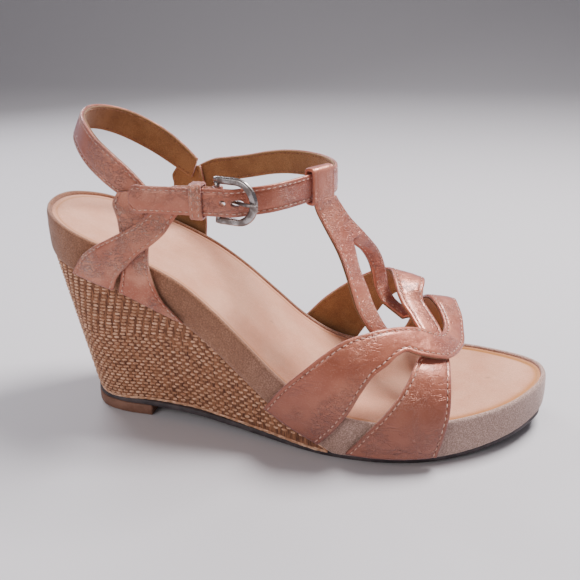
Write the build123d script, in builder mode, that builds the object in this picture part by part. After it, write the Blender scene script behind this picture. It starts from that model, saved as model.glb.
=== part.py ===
from build123d import *
import os
from math import cos, sin, radians

# Wedge sandal, right foot, millimetres. +X points to the toe, +Y to the inner
# (medial) side of the foot, +Z up. The stations below are drawn from the rearmost
# point of the footbed rim; every piece is then written with its origin at the middle
# of the heel lift's underside, on the floor the sandal stands on.

# ------------------------------------------------------------------ driving dimensions
sole_length = 240.0
origin_x = 34.0                # middle of the heel lift, from the back of the rim
leather_thick = 1.2            # upper leather
lining_thick = 0.8             # microsuede lining
glue_gap = 0.1                 # between leather and lining
band_thick = 1.3               # suede round the platform edge
sock_thick = 1.2               # suede insole sock
foam_thick = 3.0
board_thick = 2.2
rim_height = 1.2               # raised rim round the sock
outsole_thick = 2.6
lift_height = 5.5              # heel lift under the wedge
lift_length = 36.5
wrap_thick = 1.3               # woven wrap round the wedge
strap_width = 12.0             # ankle strap
strap_y = -37.9                # inner face of the ankle strap's tail
strap_z = 114.3                # centre height of the ankle strap's tail
hole_dia = 2.6
bar_x, bar_y = 97.0, -35.3     # buckle bar, parallel to Z
bar_dia = 2.4
bar_clearance = 0.05
frame_wide = 20.5              # buckle frame, over its height
frame_band = 3.2
frame_thick = 1.8
keeper_x = 86.2
keeper_wide = 5.6
heel_axis_x, heel_axis_z = 60.0, 116.0   # fold line of the heel strap

# footbed outline: x, half width to the outer side, half width to the inner side
outline = [
    (0.6, 3.0, 3.0), (3, 13.5, 12.5), (8, 21.3, 19.6), (14, 26.4, 24.4), (22, 29.9, 27.4),
    (32, 31.4, 28.9), (45, 30.9, 29.2), (60, 30.9, 28.3), (75, 32.3, 27.3), (90, 35.2, 27.0),
    (105, 38.2, 27.2), (120, 41.1, 28.2), (135, 44.2, 30.8), (148, 45.9, 34.5), (160, 46.2, 38.6),
    (170, 45.8, 41.3), (180, 43.9, 42.9), (190, 41.0, 43.2), (200, 36.8, 42.2), (209, 31.8, 39.9),
    (218, 25.6, 36.0), (226, 18.4, 31.4), (233, 9.6, 25.8), (238, 0.6, 19.4),
]
toe_point = (240.2, 9.0)

# side view: x, height of the footbed rim
rim_line = [(-6, 106), (0, 103.4), (20, 96.0), (40, 88.4), (60, 80.9), (75, 73.7), (90, 63.4),
            (105, 50.6), (120, 37.3), (132, 28.9), (145, 23.4), (160, 20.9), (180, 20.5), (200, 20.8),
            (220, 22.3), (240, 25.2), (248, 26.6)]
# x, thickness of the platform below the rim
platform_depth = [(-6, 19.4), (0, 19.4), (60, 19.4), (105, 19.2), (116, 18.4), (126, 17.6),
                  (136, 17.6), (148, 20.0), (248, 24.0)]
# x, height of the underside of the outsole
tread_line = [(8, 5.5), (20, 5.5), (55, 5.5), (80, 4.4), (110, 2.2), (132, 0.5), (146, 0.0), (170, 0.0),
              (188, 0.0), (205, 1.2), (222, 3.6), (240, 7.2), (248, 9.2)]

os.makedirs("parts", exist_ok=True)


def seated(body, name):
    """the piece moved to the sandal's origin and labelled"""
    out = Pos(-origin_x, 0, 0) * body
    out.label = name
    return out


def rise(table, x):
    """straight-line reading of a table of (x, value)"""
    for (x0, v0), (x1, v1) in zip(table, table[1:]):
        if x <= x1:
            return v0 + (v1 - v0) * (x - x0) / (x1 - x0)
    return table[-1][1]


def half_width(x, side):
    return rise([(0.0, 0.0)] + [(r[0], r[1] if side < 0 else r[2]) for r in outline], x)


def rim(inset):
    """closed outline points, moved in by inset along the normal"""
    pts = [(r[0], -r[1]) for r in outline] + [toe_point] + [(r[0], r[2]) for r in reversed(outline)]
    out = []
    n = len(pts)
    for i in range(n):
        (xa, ya), (xb, yb) = pts[i - 1], pts[(i + 1) % n]
        tx, ty = xb - xa, yb - ya
        ln = (tx * tx + ty * ty) ** 0.5
        out.append((pts[i][0] - ty / ln * inset, pts[i][1] + tx / ln * inset))
    return out


def slab(top, bottom):
    """side profile between two lines of (x, z)"""
    return list(top) + list(reversed(bottom))


def lowered(line, drop):
    return [(x, z - (drop(x) if callable(drop) else drop)) for x, z in line]


# side-view lines are read at these stations
stations = [-4, 8, 20, 36, 55, 67, 78, 88, 97, 106, 115, 123, 131, 139, 148, 160, 174, 188, 200, 212, 226, 246]
rim_fine = [(x, rise(rim_line, x)) for x in stations]


rim_top = rim_fine
platform_bottom = [(x, z - rise(platform_depth, x)) for x, z in rim_top]
tread = [(x, rise(tread_line, x)) for x in stations]
tread_top = [(x, z + outsole_thick) for x, z in tread]
# the platform never goes below the top of the outsole
platform_bottom = [(x, max(z, t[1] + 0.15)) for (x, z), t in zip(platform_bottom, tread_top)]

# ------------------------------------------------------------------ sole
with BuildPart() as outsole:
    with BuildSketch(Plane.XZ):
        with BuildLine():
            Polyline(*[p for p in tread if p[0] >= 8])
            Line(tread[-1], tread_top[-1])
            Polyline(*list(reversed([p for p in tread_top if p[0] >= 8])))
            Line([p for p in tread_top if p[0] >= 8][0], [p for p in tread if p[0] >= 8][0])
        make_face()
    extrude(amount=60, both=True)
    # plan shape: the heel end follows the foot of the wedge
    foot = [(r[0], r[1] - 1.5, r[2] - 1.5) for r in outline if r[0] > 150]
    lat = [(17.0, -6.0), (19.5, -14.5), (26.0, -22.0), (36.0, -26.0), (52, -27.6), (75, -29.5), (100, -34.5),
           (125, -40.2), (142, -43.6)] + [(x, -a) for x, a, b in foot]
    med = [(17.0, 6.0), (19.5, 14.0), (26.0, 20.6), (36.0, 24.0), (52, 25.0), (75, 24.6), (100, 24.6),
           (125, 26.8), (142, 31.0)] + [(x, b) for x, a, b in foot]
    with BuildSketch(Plane.XY.offset(-5)):
        with BuildLine():
            Polyline(*lat, (238.7, 9.0), *reversed(med), close=True)
        make_face()
    extrude(amount=40, mode=Mode.INTERSECT)

with BuildPart() as heel_lift:
    with BuildSketch(Plane.XY):
        with BuildLine():
            l1 = Polyline((17 + lift_length, -27.6), (36.0, -26.2), (26.0, -22.4), (19.3, -14.6), (16.8, 0),
                        (19.3, 14.2), (26.0, 21.0), (36.0, 24.4), (17 + lift_length, 25.2))
            Line(l1 @ 1, l1 @ 0)
        make_face()
    extrude(amount=lift_height - 0.1)
    chamfer(heel_lift.faces().sort_by(Axis.Z)[0].edges(), 0.5)
heel_lift.part.label = "heel_lift"

nail_spots = [(25, -12), (25, 11), (36, -17), (36, 15), (48, -16), (48, 14)]
with BuildPart() as heel_nails:
    with BuildSketch(Plane.XY.offset(1.2)):
        with Locations(*nail_spots):
            Circle(1.9)
    extrude(amount=0.9)
    with BuildSketch(Plane.XY.offset(2.0)):
        with Locations(*nail_spots):
            Circle(0.9)
    extrude(amount=14)
heel_nails.part.label = "heel_lift_nails"
export_step(seated(heel_nails.part, "heel_lift_nails"), "parts/heel_lift_nails.step")

with BuildPart() as nail_room:
    with BuildSketch(Plane.XY.offset(-1)):
        with Locations(*nail_spots):
            Circle(2.0)
    extrude(amount=3.2)
    with BuildSketch(Plane.XY.offset(2.0)):
        with Locations(*nail_spots):
            Circle(1.0)
    extrude(amount=14.2)
heel_lift_cut = heel_lift.part - nail_room.part
heel_lift_cut.label = "heel_lift"
export_step(seated(heel_lift_cut, "heel_lift"), "parts/heel_lift.step")
outsole_cut = outsole.part - nail_room.part
outsole_cut.label = "outsole"
export_step(seated(outsole_cut, "outsole"), "parts/outsole.step")


def wedge_section(z, inset):
    """wedge outline at height z: drawn in and moved forward toward the foot"""
    k = max(0.0, min(1.0, (84.0 - z) / 78.5))
    out = []
    for x, y in rim(0.6 + inset):
        if x < 60:
            # the rear end slopes forward going down
            w = 1 - max(0.0, x - 8) / 52.0 if x > 8 else 1.0
            xs = x + (15.2 * k) * w
        else:
            xs = x
        shrink = 1 - 0.135 * k * max(0.0, min(1.0, (140 - x) / 60.0))
        out.append((xs, y * shrink))
    return out


wedge_top = [(x, z - 0.15) for x, z in platform_bottom]
wedge_bottom = [(x, z + 0.15) for x, z in tread_top]
wedge_end = [p[0] for p, q in zip(wedge_top, wedge_bottom) if p[1] - q[1] > 1.0][-1]
wt = [p for p in wedge_top if -4 <= p[0] <= wedge_end]
wb = [p for p in wedge_bottom if -4 <= p[0] <= wedge_end]

with BuildPart() as wedge_solid:
    for z in (2.0, 90.0):
        with BuildSketch(Plane.XY.offset(z)):
            with BuildLine():
                Polyline(*wedge_section(z, 0.0), close=True)
            make_face()
    loft(ruled=True)
with BuildPart() as wedge_inner:
    for z in (1.0, 91.0):
        with BuildSketch(Plane.XY.offset(z)):
            with BuildLine():
                Polyline(*wedge_section(z, wrap_thick), close=True)
            make_face()
    loft(ruled=True)
with BuildPart() as wedge_profile:
    with BuildSketch(Plane.XZ):
        with BuildLine():
            Polyline(*wt)
            Line(wt[-1], wb[-1])
            Polyline(*list(reversed(wb)))
            Line(wb[0], wt[0])
        make_face()
    extrude(amount=60, both=True)

wedge_body = wedge_solid.part & wedge_profile.part
wedge_core = (wedge_inner.part & wedge_profile.part) - nail_room.part
wedge_core.label = "wedge_core"
export_step(seated(wedge_core, "wedge_core"), "parts/wedge_core.step")
wedge_cover = wedge_body - wedge_inner.part
wedge_cover.label = "wedge_cover"
export_step(seated(wedge_cover, "wedge_cover"), "parts/wedge_cover.step")

# ------------------------------------------------------------------ platform and footbed


def side_slab(top, bottom):
    """extruded side profile between two smooth lines"""
    with BuildPart() as body:
        with BuildSketch(Plane.XZ):
            with BuildLine():
                Polyline(*top)
                Line(top[-1], bottom[-1])
                Polyline(*list(reversed(bottom)))
                Line(bottom[0], top[0])
            make_face()
        extrude(amount=60, both=True)
    return body.part


def plan_column(inset):
    """upright column with the footbed outline moved in by inset"""
    with BuildPart() as body:
        with BuildSketch(Plane.XY.offset(-5)):
            with BuildLine():
                Polyline(*rim(inset), close=True)
            make_face()
        extrude(amount=130)
    return body.part


column_outer = plan_column(0.0)
column_band = plan_column(band_thick)
column_sock = plan_column(band_thick + 0.9)

sock_top = lowered(rim_top, rim_height)
foam_top = lowered(sock_top, sock_thick + 0.05)
board_top = lowered(foam_top, foam_thick + 0.05)
core_top = lowered(board_top, board_thick + 0.05)

platform_band = (side_slab(rim_top, platform_bottom) & column_outer) - column_band
platform_band.label = "platform_band"
export_step(seated(platform_band, "platform_band"), "parts/platform_band.step")

insole_sock = side_slab(sock_top, lowered(sock_top, sock_thick)) & column_sock
insole_sock.label = "insole_sock"
export_step(seated(insole_sock, "insole_sock"), "parts/insole_sock.step")

column_in = plan_column(band_thick + 0.1)
foam_pad = side_slab(foam_top, lowered(foam_top, foam_thick)) & column_in
foam_pad.label = "foam_pad"
export_step(seated(foam_pad, "foam_pad"), "parts/foam_pad.step")

insole_board = side_slab(board_top, lowered(board_top, board_thick)) & column_in

# steel shank: a long narrow strip let into the top of the platform core
shank_line = [(x, z) for x, z in core_top if 28 <= x <= 156]
with BuildPart() as shank_side:
    with BuildSketch(Plane.XZ):
        with BuildLine():
            Polyline(*shank_line)
            Line(shank_line[-1], (shank_line[-1][0], shank_line[-1][1] - 1.4))
            Polyline(*[(x, z - 1.4) for x, z in reversed(shank_line)])
            Line((shank_line[0][0], shank_line[0][1] - 1.4), shank_line[0])
        make_face()
    extrude(amount=20, both=True)
shank_plan = Pos(91, -2, 50) * extrude(SlotOverall(118, 13), 140, both=True)
rivet_spots = [(44.0, -2.0), (138.0, -2.0)]
rivet_solid = None
for rx, ry in rivet_spots:
    rz = rise(core_top, rx)
    one = Pos(rx, ry, rz) * Cylinder(1.6, 9.4, align=(Align.CENTER, Align.CENTER, Align.CENTER))
    one = one + Pos(rx, ry, rz - 5.4) * Cylinder(3.0, 1.4)
    rivet_solid = one if rivet_solid is None else rivet_solid + one
rivet_cut = None
for rx, ry in rivet_spots:
    rz = rise(core_top, rx)
    one = Pos(rx, ry, rz) * Cylinder(1.65, 9.5) + Pos(rx, ry, rz - 5.4) * Cylinder(3.05, 1.5)
    rivet_cut = one if rivet_cut is None else rivet_cut + one
shank = (shank_side.part & shank_plan) - rivet_cut
shank.label = "shank"
export_step(seated(shank, "shank"), "parts/shank.step")
export_step(seated(rivet_solid, "shank_rivets"), "parts/shank_rivets.step")
board_cut = insole_board - rivet_cut
board_cut.label = "insole_board"
export_step(seated(board_cut, "insole_board"), "parts/insole_board.step")
foam_cut = foam_pad - rivet_cut
foam_cut.label = "foam_pad"
export_step(seated(foam_cut, "foam_pad"), "parts/foam_pad.step")
shank_slot = Pos(91, -2, 50) * extrude(SlotOverall(118.4, 13.4), 140, both=True)
platform_core = (side_slab(core_top, platform_bottom) & column_in) - (side_slab(rim_top, lowered(core_top, 1.5)) & shank_slot) - rivet_cut
platform_core.label = "platform_core"
export_step(seated(platform_core, "platform_core"), "parts/platform_core.step")

# ------------------------------------------------------------------ uppers
# A strap is a list of stations: one edge point, the other edge point, and how far
# the strap bellies outward across its width. Points lie on its foot-side surface.


def ribbon(rows, inner, thick, outward):
    """loft one flat layer of a strap between its stations"""
    mids = [Vector(*((a[i] + b[i]) / 2 for i in range(3))) for a, b, s in rows]
    with BuildPart() as body:
        for i, (a, b, s) in enumerate(rows):
            w = Vector(*b) - Vector(*a)
            width = w.length
            w = w.normalized()
            t = mids[min(i + 1, len(mids) - 1)] - mids[max(i - 1, 0)]
            n = t.cross(w).normalized()
            ref = outward(mids[i])
            if n.dot(ref) < 0:
                n = n * -1
            run = w.cross(n).normalized()
            with BuildSketch(Plane(origin=mids[i] + n * inner, x_dir=w, z_dir=run)):
                with BuildLine():
                    h = width / 2
                    # local y is along the outward normal or against it
                    sign = 1 if run.cross(w).dot(n) > 0 else -1
                    Polyline((-h, 0), (0, sign * s), (h, 0), (h, sign * thick), (0, sign * (s + thick)),
                             (-h, sign * thick), close=True)
                make_face()
        loft(ruled=True)
    return body.part


def from_foot(m):
    """outward direction for straps that arch over the foot"""
    return Vector(0.35 * (m.X - 150) / 50.0 + 0.3, m.Y / 30.0, (m.Z - rise(rim_line, m.X) + 4) / 26.0)


def from_ankle(m):
    """outward direction for upright straps round the ankle"""
    return Vector(max(0.0, m.X - 112) / 10.0, m.Y / 30.0, 0)


def from_heel(m):
    return Vector(min(0.0, m.X - 45) / 22.0, m.Y / 30.0, -0.2)


def leather(rows, outward, name, cut=None, lift=0.0):
    part = ribbon(rows, lift + lining_thick + glue_gap, leather_thick, outward)
    if cut is not None:
        part = part - cut
    part.label = name
    export_step(seated(part, name), "parts/" + name + ".step")
    return part


def lining(rows, outward, name, cut=None, lift=0.0):
    part = ribbon(rows, lift, lining_thick, outward)
    if cut is not None:
        part = part - cut
    part.label = name
    export_step(seated(part, name), "parts/" + name + ".step")
    return part


# rear strap of the vamp: outer rear base, over the joint, round the front of the knot, down to the inner front base
vamp_rear_rows = [
    ((116, -41.6, 21.0), (142, -46.6, 8.4), 0.9), ((125, -43.4, 33.0), (149, -47.2, 16.5), 0.8),
    ((135.4, -45.0, 44.0), (155.6, -47.2, 26.5), 0.5), ((144.5, -43.2, 52.0), (160.5, -45.6, 36.0), 0.5),
    ((152.2, -39.6, 56.6), (165.0, -42.9, 42.6), 0.5), ((160.2, -34.4, 57.8), (169.6, -39.8, 45.6), 0.5),
    ((168.0, -28.2, 57.6), (174.0, -35.2, 48.7), 0.4), ((174.5, -22.6, 56.2), (177.5, -32.0, 49.2), 0.4),
    ((180.8, -17.8, 54.0), (182.0, -31.0, 47.6), 0.4), ((186.0, -15.0, 51.6), (188.5, -28.0, 45.2), 0.4),
    ((189.2, -11.8, 49.2), (194.5, -22.5, 42.6), 0.4), ((190.6, -7.5, 48.0), (199.0, -12.5, 41.4), 0.4),
    ((191.2, -3.0, 47.6), (200.7, -3.0, 41.4), 0.4), ((190.8, 2.0, 48.6), (200.0, 7.0, 42.8), 0.4),
    ((189.0, 7.0, 51.0), (198.8, 15.5, 46.4), 0.4), ((186.4, 12.0, 53.4), (196.6, 22.5, 49.2), 0.4),
    ((183.4, 17.8, 54.0), (195.8, 28.0, 49.0), 0.5), ((180.4, 24.5, 51.4), (196.2, 33.2, 44.8), 0.6),
    ((177.8, 31.5, 46.0), (197.6, 37.2, 38.8), 0.7), ((175.0, 37.6, 38.4), (199.0, 39.8, 32.0), 0.9),
    ((170.5, 41.9, 26.6), (200.0, 40.8, 24.6), 1.3), ((163.0, 41.4, 16.8), (200.0, 43.3, 16.8), 2.2),
    ((156.5, 38.9, 6.4), (198.5, 43.8, 6.0), 3.0),
]
# front strap: outer front base, under the rear strap, up through the knot, down to the inner rear base
vamp_front_rows = [
    ((153.6, -47.5, 6.0), (193.2, -41.8, 6.0), 2.7), ((162.3, -47.6, 17.0), (196.0, -40.4, 17.5), 2.1),
    ((170.5, -45.8, 27.0), (197.2, -37.6, 26.0), 1.2), ((175.9, -42.2, 34.4), (197.0, -34.5, 32.2), 0.9),
    ((179.1, -37.4, 39.6), (196.3, -29.8, 36.8), 0.7), ((181.0, -31.0, 43.2), (195.5, -22.8, 39.4), 0.5),
    ((183.2, -24.0, 45.6), (193.6, -15.4, 41.8), 0.4), ((183.6, -18.4, 47.0), (191.4, -9.4, 43.8), 0.3),
    ((181.8, -13.4, 49.0), (190.0, -3.6, 46.6), 0.3), ((178.6, -9.0, 51.6), (187.2, 0.6, 49.8), 0.3),
    ((175.6, -4.4, 54.2), (183.6, 5.0, 53.0), 0.3), ((171.8, 0.6, 57.0), (180.4, 9.4, 56.2), 0.3),
    ((168.6, 6.2, 60.8), (180.4, 12.8, 59.6), 0.3), ((166.4, 12.8, 64.0), (180.8, 18.0, 61.4), 0.3),
    ((164.0, 20.8, 65.6), (179.6, 24.8, 60.4), 0.4), ((157.6, 27.8, 63.4), (174.2, 31.2, 55.2), 0.4),
    ((147.6, 31.4, 57.6), (163.0, 36.2, 46.0), 0.5), ((139.0, 34.2, 51.6), (156.0, 38.6, 35.4), 0.5),
    ((129.0, 33.4, 44.0), (149.5, 38.0, 26.0), 0.5), ((119.0, 31.2, 34.0), (143.0, 35.4, 16.5), 0.4),
    ((110.0, 29.2, 25.5), (136.0, 32.6, 9.2), 0.3),
]
vamp_rear_leather = leather(vamp_rear_rows, from_foot, "vamp_rear_strap")
vamp_rear_lining = lining(vamp_rear_rows, from_foot, "vamp_rear_lining")
vamp_front_leather = leather(vamp_front_rows, from_foot, "vamp_front_strap")
vamp_front_lining = lining(vamp_front_rows, from_foot, "vamp_front_lining")

# T-bar: stem from the ankle loop, splitting into two bowed legs that end under the vamp
stem_rows = [
    ((132.6, -14.0, 110.0), (140.0, -2.4, 110.0), 0.3), ((133.4, -12.0, 105.0), (141.4, -1.0, 106.6), 0.3),
    ((137.0, -12.2, 97.6), (146.0, 0.4, 98.8), 0.3), ((140.2, -13.4, 92.4), (150.0, 3.2, 93.0), 0.3),
    ((142.6, -14.6, 88.8), (152.4, 5.0, 89.6), 0.3),
]
leg_out_rows = [
    ((140.4, -13.4, 92.1), (146.4, -3.2, 92.5), 0.25), ((143.4, -15.3, 87.5), (148.6, -4.6, 87.4), 0.25),
    ((148.8, -21.6, 78.0), (153.0, -12.2, 77.4), 0.3), ((151.7, -25.6, 72.0), (156.8, -16.6, 71.6), 0.3),
    ((154.6, -28.4, 65.6), (160.4, -20.6, 65.4), 0.3), ((158.6, -29.4, 59.2), (164.6, -22.6, 59.0), 0.3),
    ((163.6, -28.8, 52.2), (169.4, -22.6, 52.0), 0.3), ((167.4, -27.8, 46.6), (173.0, -22.0, 46.4), 0.3),
]
leg_in_rows = [
    ((144.0, -6.4, 92.5), (149.8, 2.9, 92.7), 0.25), ((148.4, -2.4, 87.4), (153.4, 6.0, 88.6), 0.25),
    ((151.4, 4.0, 82.4), (157.2, 11.6, 82.4), 0.3), ((154.0, 10.2, 74.8), (159.6, 17.0, 74.6), 0.3),
    ((155.5, 13.2, 67.6), (161.0, 19.8, 66.8), 0.3), ((156.8, 13.4, 60.2), (162.4, 19.6, 59.2), 0.3),
    ((160.2, 11.6, 54.0), (165.8, 17.6, 52.8), 0.3), ((166.4, 6.6, 51.2), (171.6, 12.4, 50.0), 0.3),
    ((172.2, 1.6, 49.4), (177.2, 7.4, 48.2), 0.3),
]


def from_tbar(m):
    return Vector(0.75, -0.35 + m.Y / 60.0, 0.45)


t_stem = ribbon(stem_rows, 0.9, 1.3, from_tbar)
t_out = ribbon(leg_out_rows, 0.95, 1.2, from_tbar)
t_in = ribbon(leg_in_rows, 0.95, 1.2, from_tbar)

# loop at the head of the T-bar, closed round the ankle strap
loop_mid = Vector(134.2, -8.1, 115.8)
loop_run = Vector(0.534, 0.845, 0.0).normalized()
loop_out = Vector(0.845, -0.534, 0.0).normalized()
with BuildPart() as t_loop:
    with BuildSketch(Plane(origin=loop_mid + loop_out * 1.05 - loop_run * 6.6, x_dir=loop_out, z_dir=loop_run)):
        Rectangle(6.0, 16.6)
        Rectangle(3.0, 13.4, mode=Mode.SUBTRACT)
    extrude(amount=13.2)
t_bar = t_loop.part + t_stem + t_out + t_in
t_bar.label = "t_bar"
export_step(seated(t_bar, "t_bar"), "parts/t_bar.step")
t_bar_lining = ribbon(stem_rows[1:], 0.0, 0.8, from_tbar) + ribbon(leg_out_rows, 0.05, 0.75, from_tbar) + ribbon(leg_in_rows, 0.05, 0.75, from_tbar)
t_bar_lining.label = "t_bar_lining"
export_step(seated(t_bar_lining, "t_bar_lining"), "parts/t_bar_lining.step")

# ankle strap: inner base, up across the quarter, round the front of the ankle, through the buckle
half = strap_width / 2
strap_plan = [(109, 30.6, 116.2), (117, 27.4, 116.8), (125, 22.6, 117.0), (131.8, 16.6, 116.9), (136.6, 9.6, 116.7),
              (138.6, 3.2, 116.4), (137.8, -2.4, 116.0), (130.6, -13.8, 115.6), (126.8, -19.8, 115.4),
              (122.6, -25.6, 115.2), (118.0, -30.2, 114.9), (113.5, -32.8, 114.6), (109.3, -34.6, 114.4),
              (107.0, -36.5, 114.3), (104.5, strap_y, strap_z), (66.0, strap_y, strap_z), (61.0, strap_y, strap_z)]
ankle_rows = [
    ((23.5, 30.2, 77.0), (43.0, 31.6, 70.5), 0.6), ((29.5, 31.4, 84.5), (48.0, 33.4, 77.0), 0.5),
    ((38.0, 33.8, 91.0), (54.0, 35.3, 84.0), 0.4), ((46.0, 35.4, 97.5), (59.5, 35.5, 90.0), 0.25),
    ((53.5, 35.4, 104.5), (66.0, 35.5, 97.0), 0.2), ((61.0, 35.4, 111.0), (71.0, 35.5, 102.0), 0.2),
    ((69.5, 35.5, 115.2), (74.5, 35.5, 104.2), 0.2), ((79.0, 35.2, 116.8), (81.0, 35.2, 104.9), 0.2),
    ((90.0, 34.2, 118.6), (91.2, 34.2, 106.8), 0.2), ((101.0, 32.6, 121.0), (102.0, 32.6, 109.1), 0.2),
] + [((x, y, z + half), (x, y, z - half), 0.15) for x, y, z in strap_plan] + [
    ((58.6, strap_y, strap_z + 3.6), (58.6, strap_y, strap_z - 3.6), 0.15)]
hole_spots = [(100.5, strap_z)]
with BuildPart() as strap_holes:
    with BuildSketch(Plane.XZ.offset(32)):
        with Locations(*hole_spots):
            Circle(hole_dia / 2)
        with Locations((106.1, strap_z)):
            SlotOverall(5.8, 2.9)
    extrude(amount=10)
leather(ankle_rows, from_ankle, "ankle_strap", cut=strap_holes.part)
lining(ankle_rows, from_ankle, "ankle_strap_lining", cut=strap_holes.part)

# outer quarter: upright strap under a diagonal strap that carries the buckle
upright_rows = [
    ((46.0, -31.8, 68.2), (77.0, -33.6, 55.6), 0.3), ((48.0, -31.9, 77.0), (66.5, -32.6, 66.5), 0.2),
    ((49.3, -32.3, 86.0), (62.4, -32.8, 80.5), 0.2), ((50.0, -32.8, 95.0), (63.4, -33.0, 92.5), 0.15),
    ((49.5, -33.0, 104.0), (64.6, -33.0, 101.5), 0.1), ((48.2, -33.0, 110.5), (65.0, -33.0, 109.5), 0.1),
    ((51.0, -33.0, 115.6), (64.4, -33.0, 117.4), 0.1),
]
leather(upright_rows, from_ankle, "outer_quarter")
lining(upright_rows, from_ankle, "outer_quarter_lining")
inner_quarter_rows = [
    ((44.0, 30.2, 69.4), (76.0, 29.2, 55.4), 0.3), ((46.0, 30.6, 80.0), (67.0, 30.0, 68.0), 0.2),
    ((48.0, 31.6, 92.0), (66.5, 31.4, 84.0), 0.2), ((49.0, 32.8, 103.0), (66.0, 32.8, 97.0), 0.1),
    ((48.4, 33.0, 107.0), (65.6, 33.0, 105.0), 0.1), ((51.4, 33.0, 111.6), (64.2, 33.0, 112.2), 0.1),
]
leather(inner_quarter_rows, from_ankle, "inner_quarter")
lining(inner_quarter_rows, from_ankle, "inner_quarter_lining")

buckle_strap_rows = [
    ((23.5, -31.0, 76.0), (44.0, -33.0, 69.5), 0.6), ((29.5, -32.0, 84.5), (48.0, -34.6, 77.0), 0.5),
    ((38.0, -33.8, 90.8), (54.5, -35.4, 83.6), 0.4), ((47.5, -35.3, 95.9), (60.0, -35.5, 88.8), 0.25),
    ((57.0, -35.4, 101.0), (66.5, -35.5, 93.5), 0.15), ((65.0, -35.4, 106.8), (72.5, -35.4, 98.8), 0.1),
    ((71.0, -35.4, 114.0), (77.0, -35.4, 104.8), 0.1), ((77.0, -35.4, 119.8), (80.0, -35.4, 108.0), 0.1),
    ((83.0, -35.4, 120.3), (83.0, -35.4, 108.3), 0.1), ((94.0, -35.4, 120.3), (94.0, -35.4, 108.3), 0.1),
]
buckle_strap_flat = ribbon(buckle_strap_rows + [((95.4, -35.4, 120.3), (95.4, -35.4, 108.3), 0.1)],
                           lining_thick + glue_gap, leather_thick, from_ankle)
with BuildPart() as bar_fold:
    with BuildSketch(Plane.XY.offset(strap_z - half)):
        with Locations((bar_x, bar_y)):
            Circle(bar_dia / 2 + bar_clearance + leather_thick)
            Circle(bar_dia / 2 + bar_clearance, mode=Mode.SUBTRACT)
    extrude(amount=strap_width)
    with BuildSketch(Plane.XY.offset(strap_z - 1.5)):
        with Locations((bar_x + 1.0, bar_y)):
            Rectangle(7.0, 6.0)
    extrude(amount=3.0, mode=Mode.SUBTRACT)
with BuildPart() as bar_room:
    with BuildSketch(Plane.XY.offset(strap_z - 12)):
        with Locations((bar_x, bar_y)):
            Circle(bar_dia / 2 + bar_clearance)
    extrude(amount=24)
buckle_strap = (buckle_strap_flat - bar_room.part) + bar_fold.part
with BuildPart() as tongue_room:
    with BuildSketch(Plane.XY.offset(strap_z - 1.5)):
        with Locations((bar_x + 1.0, bar_y)):
            Rectangle(7.6, 6.0)
    extrude(amount=3.0)
buckle_strap = buckle_strap - tongue_room.part
buckle_strap.label = "buckle_strap"
export_step(seated(buckle_strap, "buckle_strap"), "parts/buckle_strap.step")
lining(buckle_strap_rows, from_ankle, "buckle_strap_lining")

# ------------------------------------------------------------------ heel strap
heel_rows = [
    ((60.0, -30.6, 107.6), (64.0, -30.6, 117.4), 0.1), ((51.0, -30.6, 113.6), (57.2, -30.6, 124.8), 0.1),
    ((43.0, -29.2, 119.0), (50.0, -30.0, 131.0), 0.2), ((35.0, -25.6, 124.6), (42.0, -27.4, 136.8), 0.2),
    ((27.6, -19.0, 130.0), (34.5, -21.2, 141.8), 0.2), ((22.0, -10.6, 133.8), (28.4, -12.2, 145.0), 0.2),
    ((19.8, 0.0, 135.2), (26.0, 0.0, 146.2), 0.2), ((22.0, 10.6, 133.5), (28.4, 12.2, 144.6), 0.2),
    ((27.6, 19.0, 129.5), (34.5, 21.2, 141.0), 0.2), ((35.0, 25.6, 123.7), (42.0, 27.4, 135.6), 0.2),
    ((43.0, 29.2, 117.8), (50.0, 30.0, 129.6), 0.2), ((51.0, 30.6, 112.0), (57.2, 30.6, 123.2), 0.1),
    ((60.0, 30.6, 106.4), (64.0, 30.6, 116.2), 0.1),
]
leather(heel_rows, from_heel, "heel_strap")
lining(heel_rows, from_heel, "heel_strap_lining")

# ------------------------------------------------------------------ buckle and keeper
tilt = 15.5
frame_dir = Vector(cos(radians(tilt)), -sin(radians(tilt)), 0)
frame_up = Vector(-sin(radians(tilt)), -cos(radians(tilt)), 0)
with BuildPart() as buckle_frame:
    with BuildSketch(Plane(origin=Vector(bar_x, bar_y, strap_z) - frame_up * (frame_thick / 2), x_dir=frame_dir, z_dir=frame_up)):
        with Locations((3.7, 0)):
            Rectangle(10.6, frame_wide)
        with Locations((9.0, 0)):
            Ellipse(10.3, frame_wide / 2)
        with Locations((2.4, 0)):
            Rectangle(13.2, frame_wide - 2 * frame_band, mode=Mode.SUBTRACT)
        with Locations((9.0, 0)):
            Ellipse(10.3 - 3.7, frame_wide / 2 - frame_band, mode=Mode.SUBTRACT)
    extrude(amount=frame_thick)
    with BuildSketch(Plane.XY.offset(strap_z - 8.4)):
        with Locations((bar_x, bar_y)):
            Circle(bar_dia / 2)
    extrude(amount=16.8)
buckle_frame.part.label = "buckle_frame"
export_step(seated(buckle_frame.part, "buckle_frame"), "parts/buckle_frame.step")

with BuildPart() as buckle_tongue:
    with BuildSketch(Plane.XY.offset(strap_z - 1.0)):
        with Locations((bar_x, bar_y)):
            Circle(bar_dia / 2 + bar_clearance + 0.9)
        with BuildLine():
            Polyline((98.2, -35.0), (103.2, -35.3), (106.3, -36.9), (111.9, -40.55), (115.9, -41.7), (116.7, -42.3),
                     (116.2, -43.2), (111.2, -42.1), (105.4, -38.5), (102.6, -36.9), (98.2, -36.7), close=True)
        make_face()
        with Locations((bar_x, bar_y)):
            Circle(bar_dia / 2 + bar_clearance, mode=Mode.SUBTRACT)
    extrude(amount=2.0)
buckle_tongue.part.label = "buckle_tongue"
export_step(seated(buckle_tongue.part, "buckle_tongue"), "parts/buckle_tongue.step")

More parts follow.
